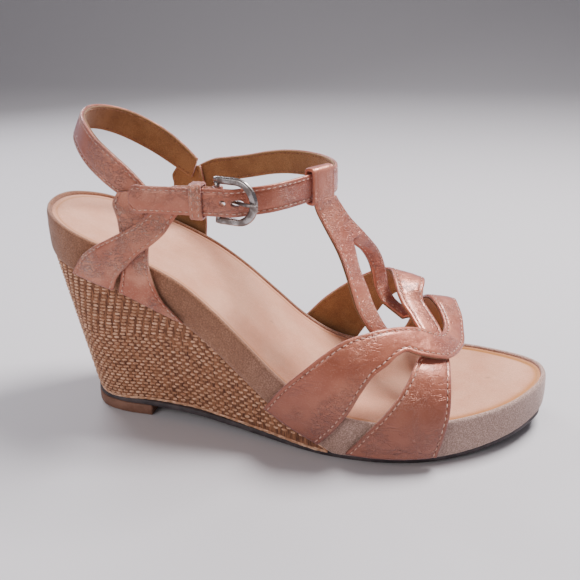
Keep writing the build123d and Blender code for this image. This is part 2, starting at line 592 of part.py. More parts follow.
with BuildPart() as keeper:
    with BuildSketch(Plane.YZ.offset(keeper_x)):
        with Locations((-37.72, strap_z)):
            Rectangle(7.9, 15.4)
            Rectangle(5.3, 12.8, mode=Mode.SUBTRACT)
    extrude(amount=keeper_wide)
keeper.part.label = "keeper_loop"
export_step(seated(keeper.part, "keeper_loop"), "parts/keeper_loop.step")
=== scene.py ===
import math
import random

import bpy
import numpy as np
from mathutils import Matrix, Vector, noise


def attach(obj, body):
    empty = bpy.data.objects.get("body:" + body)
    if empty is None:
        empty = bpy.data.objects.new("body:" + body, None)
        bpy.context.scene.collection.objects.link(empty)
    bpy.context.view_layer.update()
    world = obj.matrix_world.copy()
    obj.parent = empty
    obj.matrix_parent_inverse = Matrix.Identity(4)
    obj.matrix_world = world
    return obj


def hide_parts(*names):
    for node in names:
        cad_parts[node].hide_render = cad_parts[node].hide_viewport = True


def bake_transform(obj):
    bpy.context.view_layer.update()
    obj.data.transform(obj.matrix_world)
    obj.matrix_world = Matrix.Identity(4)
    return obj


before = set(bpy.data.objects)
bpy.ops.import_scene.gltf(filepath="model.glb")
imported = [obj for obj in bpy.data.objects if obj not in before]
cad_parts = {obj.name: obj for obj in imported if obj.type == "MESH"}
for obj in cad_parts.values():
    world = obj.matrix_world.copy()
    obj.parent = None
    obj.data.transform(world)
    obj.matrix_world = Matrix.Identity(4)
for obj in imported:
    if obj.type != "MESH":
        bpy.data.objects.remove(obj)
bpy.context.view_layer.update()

random.seed(7)
origin_x = 34.0
bar_x, bar_y = 97.0, -35.3
strap_y, strap_z, half = -37.9, 114.3, 6.0
keeper_x, keeper_wide = 86.2, 5.6
tilt = 15.5

# ---------------------------------------------------------------- tables, millimetres
outline = [
    (0.6, 3.0, 3.0), (3, 13.5, 12.5), (8, 21.3, 19.6), (14, 26.4, 24.4), (22, 29.9, 27.4),
    (32, 31.4, 28.9), (45, 30.9, 29.2), (60, 30.9, 28.3), (75, 32.3, 27.3), (90, 35.2, 27.0),
    (105, 38.2, 27.2), (120, 41.1, 28.2), (135, 44.2, 30.8), (148, 45.9, 34.5), (160, 46.2, 38.6),
    (170, 45.8, 41.3), (180, 43.9, 42.9), (190, 41.0, 43.2), (200, 36.8, 42.2), (209, 31.8, 39.9),
    (218, 25.6, 36.0), (226, 18.4, 31.4), (233, 9.6, 25.8), (238, 0.6, 19.4),
]
toe_point = (240.2, 9.0)
rim_line = [(-6, 106), (0, 103.4), (20, 96.0), (40, 88.4), (60, 80.9), (75, 73.7), (90, 63.4),
            (105, 50.6), (120, 37.3), (132, 28.9), (145, 23.4), (160, 20.9), (180, 20.5), (200, 20.8),
            (220, 22.3), (240, 25.2), (248, 26.6)]
platform_depth = [(-6, 19.4), (0, 19.4), (60, 19.4), (105, 19.2), (116, 18.4), (126, 17.6),
                  (136, 17.6), (148, 20.0), (248, 24.0)]
tread_line = [(8, 5.5), (20, 5.5), (55, 5.5), (80, 4.4), (110, 2.2), (132, 0.5), (146, 0.0), (170, 0.0),
              (188, 0.0), (205, 1.2), (222, 3.6), (240, 7.2), (248, 9.2)]
vamp_rear_rows = [
    ((116, -41.6, 21.0), (142, -46.6, 8.4), 0.9), ((125, -43.4, 33.0), (149, -47.2, 16.5), 0.8),
    ((135.4, -45.0, 44.0), (155.6, -47.2, 26.5), 0.5), ((144.5, -43.2, 52.0), (160.5, -45.6, 36.0), 0.5),
    ((152.2, -39.6, 56.6), (165.0, -42.9, 42.6), 0.5), ((160.2, -34.4, 57.8), (169.6, -39.8, 45.6), 0.5),
    ((168.0, -28.2, 57.6), (174.0, -35.2, 48.7), 0.4), ((174.5, -22.6, 56.2), (177.5, -32.0, 49.2), 0.4),
    ((180.8, -17.8, 54.0), (182.0, -31.0, 47.6), 0.4), ((186.0, -15.0, 51.6), (188.5, -28.0, 45.2), 0.4),
    ((189.2, -11.8, 49.2), (194.5, -22.5, 42.6), 0.4), ((190.6, -7.5, 48.0), (199.0, -12.5, 41.4), 0.4),
    ((191.2, -3.0, 47.6), (200.7, -3.0, 41.4), 0.4), ((190.8, 2.0, 48.6), (200.0, 7.0, 42.8), 0.4),
    ((189.0, 7.0, 51.0), (198.8, 15.5, 46.4), 0.4), ((186.4, 12.0, 53.4), (196.6, 22.5, 49.2), 0.4),
    ((183.4, 17.8, 54.0), (195.8, 28.0, 49.0), 0.5), ((180.4, 24.5, 51.4), (196.2, 33.2, 44.8), 0.6),
    ((177.8, 31.5, 46.0), (197.6, 37.2, 38.8), 0.7), ((175.0, 37.6, 38.4), (199.0, 39.8, 32.0), 0.9),
    ((170.5, 41.9, 26.6), (200.0, 40.8, 24.6), 1.3), ((163.0, 41.4, 16.8), (200.0, 43.3, 16.8), 2.2),
    ((156.5, 38.9, 6.4), (198.5, 43.8, 6.0), 3.0),
]
vamp_front_rows = [
    ((153.6, -47.5, 6.0), (193.2, -41.8, 6.0), 2.7), ((162.3, -47.6, 17.0), (196.0, -40.4, 17.5), 2.1),
    ((170.5, -45.8, 27.0), (197.2, -37.6, 26.0), 1.2), ((175.9, -42.2, 34.4), (197.0, -34.5, 32.2), 0.9),
    ((179.1, -37.4, 39.6), (196.3, -29.8, 36.8), 0.7), ((181.0, -31.0, 43.2), (195.5, -22.8, 39.4), 0.5),
    ((183.2, -24.0, 45.6), (193.6, -15.4, 41.8), 0.4), ((183.6, -18.4, 47.0), (191.4, -9.4, 43.8), 0.3),
    ((181.8, -13.4, 49.0), (190.0, -3.6, 46.6), 0.3), ((178.6, -9.0, 51.6), (187.2, 0.6, 49.8), 0.3),
    ((175.6, -4.4, 54.2), (183.6, 5.0, 53.0), 0.3), ((171.8, 0.6, 57.0), (180.4, 9.4, 56.2), 0.3),
    ((168.6, 6.2, 60.8), (180.4, 12.8, 59.6), 0.3), ((166.4, 12.8, 64.0), (180.8, 18.0, 61.4), 0.3),
    ((164.0, 20.8, 65.6), (179.6, 24.8, 60.4), 0.4), ((157.6, 27.8, 63.4), (174.2, 31.2, 55.2), 0.4),
    ((147.6, 31.4, 57.6), (163.0, 36.2, 46.0), 0.5), ((139.0, 34.2, 51.6), (156.0, 38.6, 35.4), 0.5),
    ((129.0, 33.4, 44.0), (149.5, 38.0, 26.0), 0.5), ((119.0, 31.2, 34.0), (143.0, 35.4, 16.5), 0.4),
    ((110.0, 29.2, 25.5), (136.0, 32.6, 9.2), 0.3),
]
stem_rows = [
    ((132.6, -14.0, 110.0), (140.0, -2.4, 110.0), 0.3), ((133.4, -12.0, 105.0), (141.4, -1.0, 106.6), 0.3),
    ((137.0, -12.2, 97.6), (146.0, 0.4, 98.8), 0.3), ((140.2, -13.4, 92.4), (150.0, 3.2, 93.0), 0.3),
    ((142.6, -14.6, 88.8), (152.4, 5.0, 89.6), 0.3),
]
leg_out_rows = [
    ((140.4, -13.4, 92.1), (146.4, -3.2, 92.5), 0.25), ((143.4, -15.3, 87.5), (148.6, -4.6, 87.4), 0.25),
    ((148.8, -21.6, 78.0), (153.0, -12.2, 77.4), 0.3), ((151.7, -25.6, 72.0), (156.8, -16.6, 71.6), 0.3),
    ((154.6, -28.4, 65.6), (160.4, -20.6, 65.4), 0.3), ((158.6, -29.4, 59.2), (164.6, -22.6, 59.0), 0.3),
    ((163.6, -28.8, 52.2), (169.4, -22.6, 52.0), 0.3), ((167.4, -27.8, 46.6), (173.0, -22.0, 46.4), 0.3),
]
leg_in_rows = [
    ((144.0, -6.4, 92.5), (149.8, 2.9, 92.7), 0.25), ((148.4, -2.4, 87.4), (153.4, 6.0, 88.6), 0.25),
    ((151.4, 4.0, 82.4), (157.2, 11.6, 82.4), 0.3), ((154.0, 10.2, 74.8), (159.6, 17.0, 74.6), 0.3),
    ((155.5, 13.2, 67.6), (161.0, 19.8, 66.8), 0.3), ((156.8, 13.4, 60.2), (162.4, 19.6, 59.2), 0.3),
    ((160.2, 11.6, 54.0), (165.8, 17.6, 52.8), 0.3), ((166.4, 6.6, 51.2), (171.6, 12.4, 50.0), 0.3),
    ((172.2, 1.6, 49.4), (177.2, 7.4, 48.2), 0.3),
]
strap_plan = [(109, 30.6, 116.2), (117, 27.4, 116.8), (125, 22.6, 117.0), (131.8, 16.6, 116.9), (136.6, 9.6, 116.7),
              (138.6, 3.2, 116.4), (137.8, -2.4, 116.0), (130.6, -13.8, 115.6), (126.8, -19.8, 115.4),
              (122.6, -25.6, 115.2), (118.0, -30.2, 114.9), (113.5, -32.8, 114.6), (109.3, -34.6, 114.4),
              (107.0, -36.5, 114.3), (104.5, strap_y, strap_z), (101.0, strap_y, strap_z), (96.0, strap_y, strap_z), (88.0, strap_y, strap_z), (77.0, strap_y, strap_z), (66.0, strap_y, strap_z), (61.0, strap_y, strap_z)]
ankle_rows = [
    ((23.5, 30.2, 77.0), (43.0, 31.6, 70.5), 0.6), ((29.5, 31.4, 84.5), (48.0, 33.4, 77.0), 0.5),
    ((38.0, 33.8, 91.0), (54.0, 35.3, 84.0), 0.4), ((46.0, 35.4, 97.5), (59.5, 35.5, 90.0), 0.25),
    ((53.5, 35.4, 104.5), (66.0, 35.5, 97.0), 0.2), ((61.0, 35.4, 111.0), (71.0, 35.5, 102.0), 0.2),
    ((69.5, 35.5, 115.2), (74.5, 35.5, 104.2), 0.2), ((79.0, 35.2, 116.8), (81.0, 35.2, 104.9), 0.2),
    ((90.0, 34.2, 118.6), (91.2, 34.2, 106.8), 0.2), ((101.0, 32.6, 121.0), (102.0, 32.6, 109.1), 0.2),
] + [((x, y, z + half), (x, y, z - half), 0.15) for x, y, z in strap_plan] + [
    ((58.6, strap_y, strap_z + 3.6), (58.6, strap_y, strap_z - 3.6), 0.15)]
upright_rows = [
    ((46.0, -31.8, 68.2), (77.0, -33.6, 55.6), 0.3), ((48.0, -31.9, 77.0), (66.5, -32.6, 66.5), 0.2),
    ((49.3, -32.3, 86.0), (62.4, -32.8, 80.5), 0.2), ((50.0, -32.8, 95.0), (63.4, -33.0, 92.5), 0.15),
    ((49.5, -33.0, 104.0), (64.6, -33.0, 101.5), 0.1), ((48.2, -33.0, 110.5), (65.0, -33.0, 109.5), 0.1),
    ((51.0, -33.0, 115.6), (64.4, -33.0, 117.4), 0.1),
]
inner_quarter_rows = [
    ((44.0, 30.2, 69.4), (76.0, 29.2, 55.4), 0.3), ((46.0, 30.6, 80.0), (67.0, 30.0, 68.0), 0.2),
    ((48.0, 31.6, 92.0), (66.5, 31.4, 84.0), 0.2), ((49.0, 32.8, 103.0), (66.0, 32.8, 97.0), 0.1),
    ((48.4, 33.0, 107.0), (65.6, 33.0, 105.0), 0.1), ((51.4, 33.0, 111.6), (64.2, 33.0, 112.2), 0.1),
]
buckle_strap_rows = [
    ((23.5, -31.0, 76.0), (44.0, -33.0, 69.5), 0.6), ((29.5, -32.0, 84.5), (48.0, -34.6, 77.0), 0.5),
    ((38.0, -33.8, 90.8), (54.5, -35.4, 83.6), 0.4), ((47.5, -35.3, 95.9), (60.0, -35.5, 88.8), 0.25),
    ((57.0, -35.4, 101.0), (66.5, -35.5, 93.5), 0.15), ((65.0, -35.4, 106.8), (72.5, -35.4, 98.8), 0.1),
    ((71.0, -35.4, 114.0), (77.0, -35.4, 104.8), 0.1), ((77.0, -35.4, 119.8), (80.0, -35.4, 108.0), 0.1),
    ((83.0, -35.4, 120.3), (83.0, -35.4, 108.3), 0.1), ((94.0, -35.4, 120.3), (94.0, -35.4, 108.3), 0.1),
]
heel_rows = [
    ((60.0, -30.6, 107.6), (64.0, -30.6, 117.4), 0.1), ((51.0, -30.6, 113.6), (57.2, -30.6, 124.8), 0.1),
    ((43.0, -29.2, 119.0), (50.0, -30.0, 131.0), 0.2), ((35.0, -25.6, 124.6), (42.0, -27.4, 136.8), 0.2),
    ((27.6, -19.0, 130.0), (34.5, -21.2, 141.8), 0.2), ((22.0, -10.6, 133.8), (28.4, -12.2, 145.0), 0.2),
    ((19.8, 0.0, 135.2), (26.0, 0.0, 146.2), 0.2), ((22.0, 10.6, 133.5), (28.4, 12.2, 144.6), 0.2),
    ((27.6, 19.0, 129.5), (34.5, 21.2, 141.0), 0.2), ((35.0, 25.6, 123.7), (42.0, 27.4, 135.6), 0.2),
    ((43.0, 29.2, 117.8), (50.0, 30.0, 129.6), 0.2), ((51.0, 30.6, 112.0), (57.2, 30.6, 123.2), 0.1),
    ((60.0, 30.6, 106.4), (64.0, 30.6, 116.2), 0.1),
]

# ---------------------------------------------------------------- curves


def hermite(t, p, q):
    """smooth curve through p at parameters t, read at q"""
    w = np.diff(t)
    d = np.diff(p, axis=0) / w[:, None]
    m = np.empty_like(p)
    m[0], m[-1] = d[0], d[-1]
    m[1:-1] = (d[:-1] * w[1:, None] + d[1:] * w[:-1, None]) / (w[:-1] + w[1:])[:, None]
    i = np.clip(np.searchsorted(t, q) - 1, 0, len(t) - 2)
    h = w[i]
    s = ((q - t[i]) / h)[:, None]
    h = h[:, None]
    return ((2 * s**3 - 3 * s**2 + 1) * p[i] + (s**3 - 2 * s**2 + s) * h * m[i]
            + (3 * s**2 - 2 * s**3) * p[i + 1] + (s**3 - s**2) * h * m[i + 1])


def reader(table):
    t = np.array([r[0] for r in table], float)
    v = np.array([[r[1]] for r in table], float)
    return lambda x: hermite(t, v, np.atleast_1d(np.asarray(x, float)))[:, 0]


def unit(v):
    return v / np.maximum(np.linalg.norm(v, axis=-1, keepdims=True), 1e-9)


rim_z = reader(rim_line)
depth_z = reader(platform_depth)
tread_z = reader(tread_line)


def tread_top(x):
    return tread_z(np.clip(x, 8, 248)) + 2.6


def under_platform(x):
    return np.maximum(rim_z(x) - depth_z(x), tread_top(x) + 0.15)


def closed_curve(pts, n):
    p = np.array(pts, float)
    p = np.vstack([p[-2:], p, p[:3]])
    t = np.concatenate([[0], np.cumsum(np.linalg.norm(np.diff(p, axis=0), axis=1))])
    return hermite(t, p, np.linspace(t[2], t[-3], n, endpoint=False))


loop_pts = [(r[0], -r[1]) for r in outline] + [toe_point] + [(r[0], r[2]) for r in reversed(outline)]
edge = closed_curve(loop_pts, 560)


def inward(p):
    t = unit(np.roll(p, -1, 0) - np.roll(p, 1, 0))
    return np.stack([-t[:, 1], t[:, 0]], 1)


edge_in = inward(edge)
for _ in range(6):
    edge_in = unit(np.roll(edge_in, 1, 0) + 2 * edge_in + np.roll(edge_in, -1, 0))
mid_line = reader([(r[0], (r[2] - r[1]) / 2) for r in outline] + [(240.2, 9.0)])

# ---------------------------------------------------------------- mesh helpers


def make(name, verts, faces, mat, body=None, node=None, smooth=True, uv=None, marks=None):
    me = bpy.data.meshes.new(name)
    v = np.array(verts, float).reshape(-1, 3).copy()
    v[:, 0] -= origin_x
    me.from_pydata((v / 1000.0).tolist(), [], faces)
    me.validate()
    if smooth:
        me.polygons.foreach_set("use_smooth", [True] * len(me.polygons))
    if marks is not None and len(marks) == len(me.vertices):
        a = me.attributes.new("mark", "FLOAT", "POINT")
        a.data.foreach_set("value", np.asarray(marks, np.float32))
    me.materials.append(mat)
    ob = bpy.data.objects.new(name, me)
    bpy.context.scene.collection.objects.link(ob)
    # faces point outward
    import bmesh
    bm = bmesh.new()
    bm.from_mesh(me)
    bmesh.ops.recalc_face_normals(bm, faces=bm.faces)
    bm.to_mesh(me)
    bm.free()
    if body:
        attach(ob, body)
    if node:
        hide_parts(*([node] if isinstance(node, str) else node))
    return ob


def tube_faces(rows, k, closed_run=False, caps=True, base=0):
    f = []
    last = rows if closed_run else rows - 1
    for i in range(last):
        for j in range(k):
            a = base + i * k + j
            b = base + i * k + (j + 1) % k
            c = base + ((i + 1) % rows) * k + (j + 1) % k
            d = base + ((i + 1) % rows) * k + j
            f.append((a, b, c, d))
    if caps and not closed_run:
        f.append(tuple(base + j for j in range(k)))
        f.append(tuple(base + (rows - 1) * k + j for j in range(k))[::-1])
    return f


class Strap:
    """sampled centre frame of a strap"""

    def __init__(self, rows, outward, step=0.8, smooth=3):
        a = np.array([r[0] for r in rows], float)
        b = np.array([r[1] for r in rows], float)
        s = np.array([[r[2]] for r in rows], float)
        t = np.concatenate([[0], np.cumsum((np.linalg.norm(np.diff(a, axis=0), axis=1) + np.linalg.norm(np.diff(b, axis=0), axis=1)) / 2)])
        n = max(8, int(t[-1] / step))
        q = np.linspace(0, t[-1], n)
        self.a, self.b, self.s = hermite(t, a, q), hermite(t, b, q), np.clip(hermite(t, s, q)[:, 0], 0, 9)
        self.m = (self.a + self.b) / 2
        self.width = np.linalg.norm(self.b - self.a, axis=1)
        self.w = unit(self.b - self.a)
        run = np.gradient(self.m, axis=0)
        nn = unit(np.cross(run, self.w))
        for i in range(n):
            ref = outward(self.m[i]) if i == 0 else nn[i - 1]
            if np.dot(nn[i], ref) < 0:
                nn[i] = -nn[i]
        # the side is settled by most of the strap, not by its first station
        score = sum(np.dot(nn[i], outward(self.m[i])) for i in range(n))
        if score < 0:
            nn = -nn
        for _ in range(smooth):
            p = np.vstack([nn[:1], nn, nn[-1:]])
            nn = unit(p[:-2] + 2 * p[1:-1] + p[2:])
        self.n = unit(nn - self.w * np.sum(nn * self.w, 1, keepdims=True))
        self.count = n

    def at(self, i, e, d):
        """point e mm in from edge a at station i, d mm out from the foot-side surface"""
        u = e / self.width[i]
        return self.a[i] + self.w[i] * e + self.n[i] * (d + self.s[i] * 4 * u * (1 - u))


EDGE_TOP = [(0.0, 0.52), (0.07, 0.78), (0.24, 0.94), (0.55, 1.02), (1.0, 1.05), (1.45, 1.0), (1.75, 0.88), (1.95, 0.84), (2.15, 0.9), (2.5, 1.02), (3.2, 1.08)]
EDGE_LOW = [(0.09, 0.24), (0.3, 0.05)]


def ribbon_mesh(st, low, thick, rough=0.10, inset=0.0, grooves=True, middle=9, seed=0.0):
    """rounded closed ribbon between low and low+thick"""
    verts = []
    k = None
    for i in range(st.count):
        w = st.width[i]
        sc = min(1.0, (w / 2 - inset) / 3.9)
        top = []
        for e, d in EDGE_TOP:
            dd = d if grooves else min(1.0, d) if e < 1 else 1.0
            top.append((inset + e * sc, low + thick * dd))
        e0, e1 = top[-1][0], w - top[-1][0]
        mids = [(e0 + (e1 - e0) * (j + 1) / (middle + 1), low + thick * (1.08 if grooves else 1.0)) for j in range(middle)]
        right = [(w - e, d) for e, d in reversed(top)]
        lowr = [(inset + e * sc, low + thick * d) for e, d in EDGE_LOW]
        under_r = [(w - e, d) for e, d in lowr]
        under = [(w - inset - 0.8 * sc, low), (w * 0.66, low), (w * 0.34, low), (inset + 0.8 * sc, low)]
        prof = top + mids + right + under_r + under + list(reversed(lowr))
        k = len(prof)
        cut = len(top) + len(mids) + len(right)
        for j, (e, d) in enumerate(prof):
            p = st.at(i, e, d)
            if rough and j < cut:
                q = Vector((p[0] * 0.11 + seed, p[1] * 0.11, p[2] * 0.11))
                z = noise.noise(q) * rough
                q2 = Vector((p[0] * 0.45, p[1] * 0.45 + seed, p[2] * 0.9))
                z += noise.noise(q2) * rough * 0.45
                fade = min(1.0, min(e, w - e) / 1.2)
                p = p + st.n[i] * z * fade
            verts.append(p)
    return np.array(verts), tube_faces(st.count, k)


def capsule(centre, along, up, length, wide, high, sides=6, rings=5, dip=0.0):
    side = np.cross(along, up)
    v = []
    for r in range(rings):
        t = -1 + 2 * r / (rings - 1)
        f = math.sqrt(max(0.06, 1 - abs(t) ** 3.0))
        c = centre + along * (t * length / 2) - up * dip * t * t
        for j in range(sides):
            a = 2 * math.pi * j / sides
            v.append(c + side * math.cos(a) * wide / 2 * f + up * math.sin(a) * high / 2 * f)
    return v


def stitches(st, insets, level, pitch=2.9, length=2.1, wide=0.50, high=0.48, skip=(0.0, 0.0), rng=None):
    """rows of thread laid along a strap at each inset from edge a; negative insets count from edge b"""
    rng = rng or random.Random(3)
    verts, faces = [], []
    for e in insets:
        path = np.array([st.at(i, (min(e, st.width[i] / 2.3) if e >= 0 else st.width[i] - min(-e, st.width[i] / 2.3)), level) for i in range(st.count)])
        s = np.concatenate([[0], np.cumsum(np.linalg.norm(np.diff(path, axis=0), axis=1))])
        q = np.arange(skip[0] + 1.6, s[-1] - skip[1] - 1.6, pitch)
        if not len(q):
            continue
        P = hermite_safe(s, path, q)
        T = unit(hermite_safe(s, path, q + 0.5) - hermite_safe(s, path, q - 0.5))
        N = hermite_safe(s, st.n, q)
        for c, t, n in zip(P, T, N):
            n = unit(n - t * np.dot(n, t))
            side = np.cross(t, n)
            t2 = unit(t + side * rng.uniform(-0.07, 0.07))
            base = len(verts)
            verts += capsule(c, t2, n, length * rng.uniform(0.9, 1.08), wide, high, dip=0.32)
            faces += tube_faces(5, 6, base=base)
    return np.array(verts), faces


def needle_holes(st, insets, level, pitch=2.9, skip=(0.0, 0.0)):
    """small dark pits where the thread goes down, half a pitch from each stitch"""
    verts, faces = [], []
    for e in insets:
        path = np.array([st.at(i, (min(e, st.width[i] / 2.3) if e >= 0 else st.width[i] - min(-e, st.width[i] / 2.3)), level) for i in range(st.count)])
        s = np.concatenate([[0], np.cumsum(np.linalg.norm(np.diff(path, axis=0), axis=1))])
        q = np.arange(skip[0] + 1.6 + pitch / 2, s[-1] - skip[1] - 1.6, pitch)
        if not len(q):
            continue
        P = hermite_safe(s, path, q)
        T = unit(hermite_safe(s, path, q + 0.5) - hermite_safe(s, path, q - 0.5))
        N = hermite_safe(s, st.n, q)
        for c, t, n in zip(P, T, N):
            n = unit(n - t * np.dot(n, t))
            base = len(verts)
            verts += capsule(c, t, n, 0.62, 0.52, 0.24, dip=0.02)
            faces += tube_faces(5, 6, base=base)
    return np.array(verts), faces


def hermite_safe(s, path, q):
    keep = np.concatenate([[True], np.diff(s) > 1e-5])
    return hermite(s[keep], path[keep], np.clip(q, 0, s[-1]))


# ---------------------------------------------------------------- materials


class Mat:
    """a principled material built in code"""

    def __init__(self, name, rough=0.5, metallic=0.0, coat=0.0, coat_rough=0.25, sheen=0.0, sheen_tint=(1, 1, 1), base=None):
        self.m = bpy.data.materials.new(name)
        self.m.use_nodes = True
        self.t = self.m.node_tree
        self.b = self.t.nodes["Principled BSDF"]
        self.b.inputs["Roughness"].default_value = rough
        self.b.inputs["Metallic"].default_value = metallic
        self.b.inputs["Coat Weight"].default_value = coat
        self.b.inputs["Coat Roughness"].default_value = coat_rough
        self.b.inputs["Sheen Weight"].default_value = sheen
        self.b.inputs["Sheen Tint"].default_value = (*sheen_tint, 1)
        if base:
            self.b.inputs["Base Color"].default_value = (*base, 1)
        self.c = self.t.nodes.new("ShaderNodeTexCoord").outputs["Object"]
        self.bump = None

    def link(self, a, b):
        self.t.links.new(a, b)

    def scaled(self, s, rot=(0, 0, 0)):
        n = self.t.nodes.new("ShaderNodeMapping")
        n.inputs["Scale"].default_value = s
        n.inputs["Rotation"].default_value = rot
        self.link(self.c, n.inputs["Vector"])
        return n.outputs["Vector"]

    def noise(self, scale, detail=4.0, rough=0.55, vec=None, distort=0.0):
        n = self.t.nodes.new("ShaderNodeTexNoise")
        n.inputs["Scale"].default_value = scale
        n.inputs["Detail"].default_value = detail
        n.inputs["Roughness"].default_value = rough
        n.inputs["Distortion"].default_value = distort
        self.link(vec or self.c, n.inputs["Vector"])
        return n.outputs["Fac"]

    def cells(self, scale, vec=None, kind="DISTANCE_TO_EDGE"):
        n = self.t.nodes.new("ShaderNodeTexVoronoi")
        n.feature = kind
        n.inputs["Scale"].default_value = scale
        self.link(vec or self.c, n.inputs["Vector"])
        return n.outputs["Distance"]

    def ramp(self, fac, a, b, lo=0.0, hi=1.0):
        n = self.t.nodes.new("ShaderNodeMapRange")
        n.interpolation_type = "SMOOTHSTEP"
        n.inputs["From Min"].default_value = a
        n.inputs["From Max"].default_value = b
        n.inputs["To Min"].default_value = lo
        n.inputs["To Max"].default_value = hi
        self.link(fac, n.inputs["Value"])
        return n.outputs["Result"]

    def math(self, op, a, b):
        n = self.t.nodes.new("ShaderNodeMath")
        n.operation = op
        for i, x in enumerate((a, b)):
            if isinstance(x, (int, float)):
                n.inputs[i].default_value = x
            else:
                self.link(x, n.inputs[i])
        return n.outputs[0]

    def lines(self, fac, width):
        """1 on the middle contour of fac, falling to 0 within width"""
        n = self.math("SUBTRACT", fac, 0.5)
        n = self.math("ABSOLUTE", n, 0.0)
        return self.ramp(n, 0.0, width, 1.0, 0.0)

    def mix(self, fac, a, b):
        n = self.t.nodes.new("ShaderNodeMix")
        n.data_type = "RGBA"
        self.link(fac, n.inputs["Factor"])
        for key, x in ((6, a), (7, b)):
            if isinstance(x, tuple):
                n.inputs[key].default_value = (*x, 1)
            else:
                self.link(x, n.inputs[key])
        return n.outputs[2]

    def color(self, c):
        self.link(c, self.b.inputs["Base Color"])

    def roughness(self, r):
        self.link(r, self.b.inputs["Roughness"])

    def add_bump(self, height, strength, distance):
        n = self.t.nodes.new("ShaderNodeBump")
        n.inputs["Strength"].default_value = strength
        n.inputs["Distance"].default_value = distance
        self.link(height, n.inputs["Height"])
        if self.bump is not None:
            self.link(self.bump, n.inputs["Normal"])
        self.bump = n.outputs["Normal"]
        self.link(self.bump, self.b.inputs["Normal"])

    def axis(self, i):
        n = self.t.nodes.new("ShaderNodeSeparateXYZ")
        self.link(self.c, n.inputs[0])
        return n.outputs[i]

    def mark(self, name="mark"):
        n = self.t.nodes.new("ShaderNodeAttribute")
        n.attribute_name = name
        return n.outputs["Fac"]


def leather_mat(name, crackle=0.5, crease=1.0, tone=(0.60, 0.20, 0.112), dark=(0.42, 0.112, 0.055), light=(0.80, 0.42, 0.30)):
    m = Mat(name, rough=0.36, metallic=0.34, coat=0.35, coat_rough=0.20, sheen=0.30, sheen_tint=(0.80, 0.70, 1.0))
    broad = m.noise(55, 3, 0.5)
    c = m.mix(m.ramp(broad, 0.35, 0.68), dark, tone)
    grain = m.noise(1500, 3, 0.6)
    c = m.mix(m.ramp(grain, 0.52, 0.75, 0.0, 0.35), c, light)
    # painted shade: the leather is darkened towards the bottom of each strap, standing in for the shade on the low
    # steep faces
    low = m.ramp(m.axis(2), 0.010, 0.056, 0.92, 0.0)
    c = m.mix(low, c, (0.25, 0.072, 0.036))
    warp = m.scaled((1.0, 1.0, 1.5), (0.2, 0.5, 0.1))
    web = m.lines(m.noise(225, 2.5, 0.6, warp, 1.2), 0.034)
    web2 = m.lines(m.noise(400, 2.0, 0.6, warp, 0.9), 0.036)
    web = m.math("MAXIMUM", web, m.math("MULTIPLY", web2, 0.7))
    patch = m.ramp(m.noise(52, 2, 0.5), 0.42, 0.60)
    crk = m.math("MULTIPLY", web, patch)
    crk = m.math("MULTIPLY", crk, crackle)
    c = m.mix(m.math("MULTIPLY", crk, 0.7), c, light)
    folds = m.lines(m.noise(1.0, 3.5, 0.5, m.scaled((75, 150, 330), (0.0, 0.25, 0.0)), 0.6), 0.035)
    fpatch = m.ramp(m.noise(38, 1.5, 0.5), 0.42, 0.6)
    fl = m.math("MULTIPLY", m.math("MULTIPLY", folds, fpatch), crease)
    # painted shade: the colour is darkened along the fold lines, standing in for the shade in the creases (the same
    # lines also drive a bump below)
    c = m.mix(m.math("MULTIPLY", fl, 0.55), c, (0.28, 0.09, 0.06))
    m.color(c)
    m.roughness(m.ramp(m.noise(240, 3, 0.6), 0.3, 0.75, 0.30, 0.52))
    m.add_bump(grain, 0.25, 0.00025)
    m.add_bump(m.cells(950), 0.22, 0.00022)
    m.add_bump(crk, 0.9, 0.0009)
    m.add_bump(fl, 0.5, -0.00045)
    m.add_bump(m.noise(170, 3, 0.6), 0.30, 0.0008)
    return m.m


def suede_mat(name, a, b, speck=0.6, scale=2600, sheen=0.5, toe_tone_and_light=None, stain_and_shade=None, groove=None):
    m = Mat(name, rough=0.93, sheen=sheen, sheen_tint=(1.0, 0.88, 0.86))
    m.b.inputs["Specular IOR Level"].default_value = 0.15
    c = m.mix(m.ramp(m.noise(60, 4, 0.6), 0.32, 0.7), b, a)
    # lighter and greyer towards the toe: partly the suede's own tone, partly painted light
    if toe_tone_and_light:
        c = m.mix(m.ramp(m.axis(0), 0.055, 0.150), c, toe_tone_and_light)
    nap = m.noise(scale, 5, 0.75)
    c = m.mix(m.ramp(nap, 0.60, 0.44, 0.0, speck), c, tuple(x * 0.36 for x in b))
    c = m.mix(m.ramp(nap, 0.58, 0.72, 0.0, speck * 0.55), c, tuple(min(1, x * 1.5 + 0.08) for x in a))
    # darker blotches on the footbed: partly real stains, partly painted shadow blotches
    if stain_and_shade:
        c = m.mix(m.ramp(m.noise(34, 3, 0.55), 0.54, 0.72, 0.0, 0.5), c, stain_and_shade)
        c = m.mix(m.ramp(m.noise(130, 2, 0.5), 0.72, 0.78, 0.0, 0.45), c, tuple(x * 0.6 for x in stain_and_shade))
    if groove:
        c = m.mix(m.mark(), c, groove)
    m.color(c)
    m.add_bump(nap, 0.55, 0.0006)
    m.add_bump(m.noise(700, 3, 0.6), 0.3, 0.0006)
    return m.m


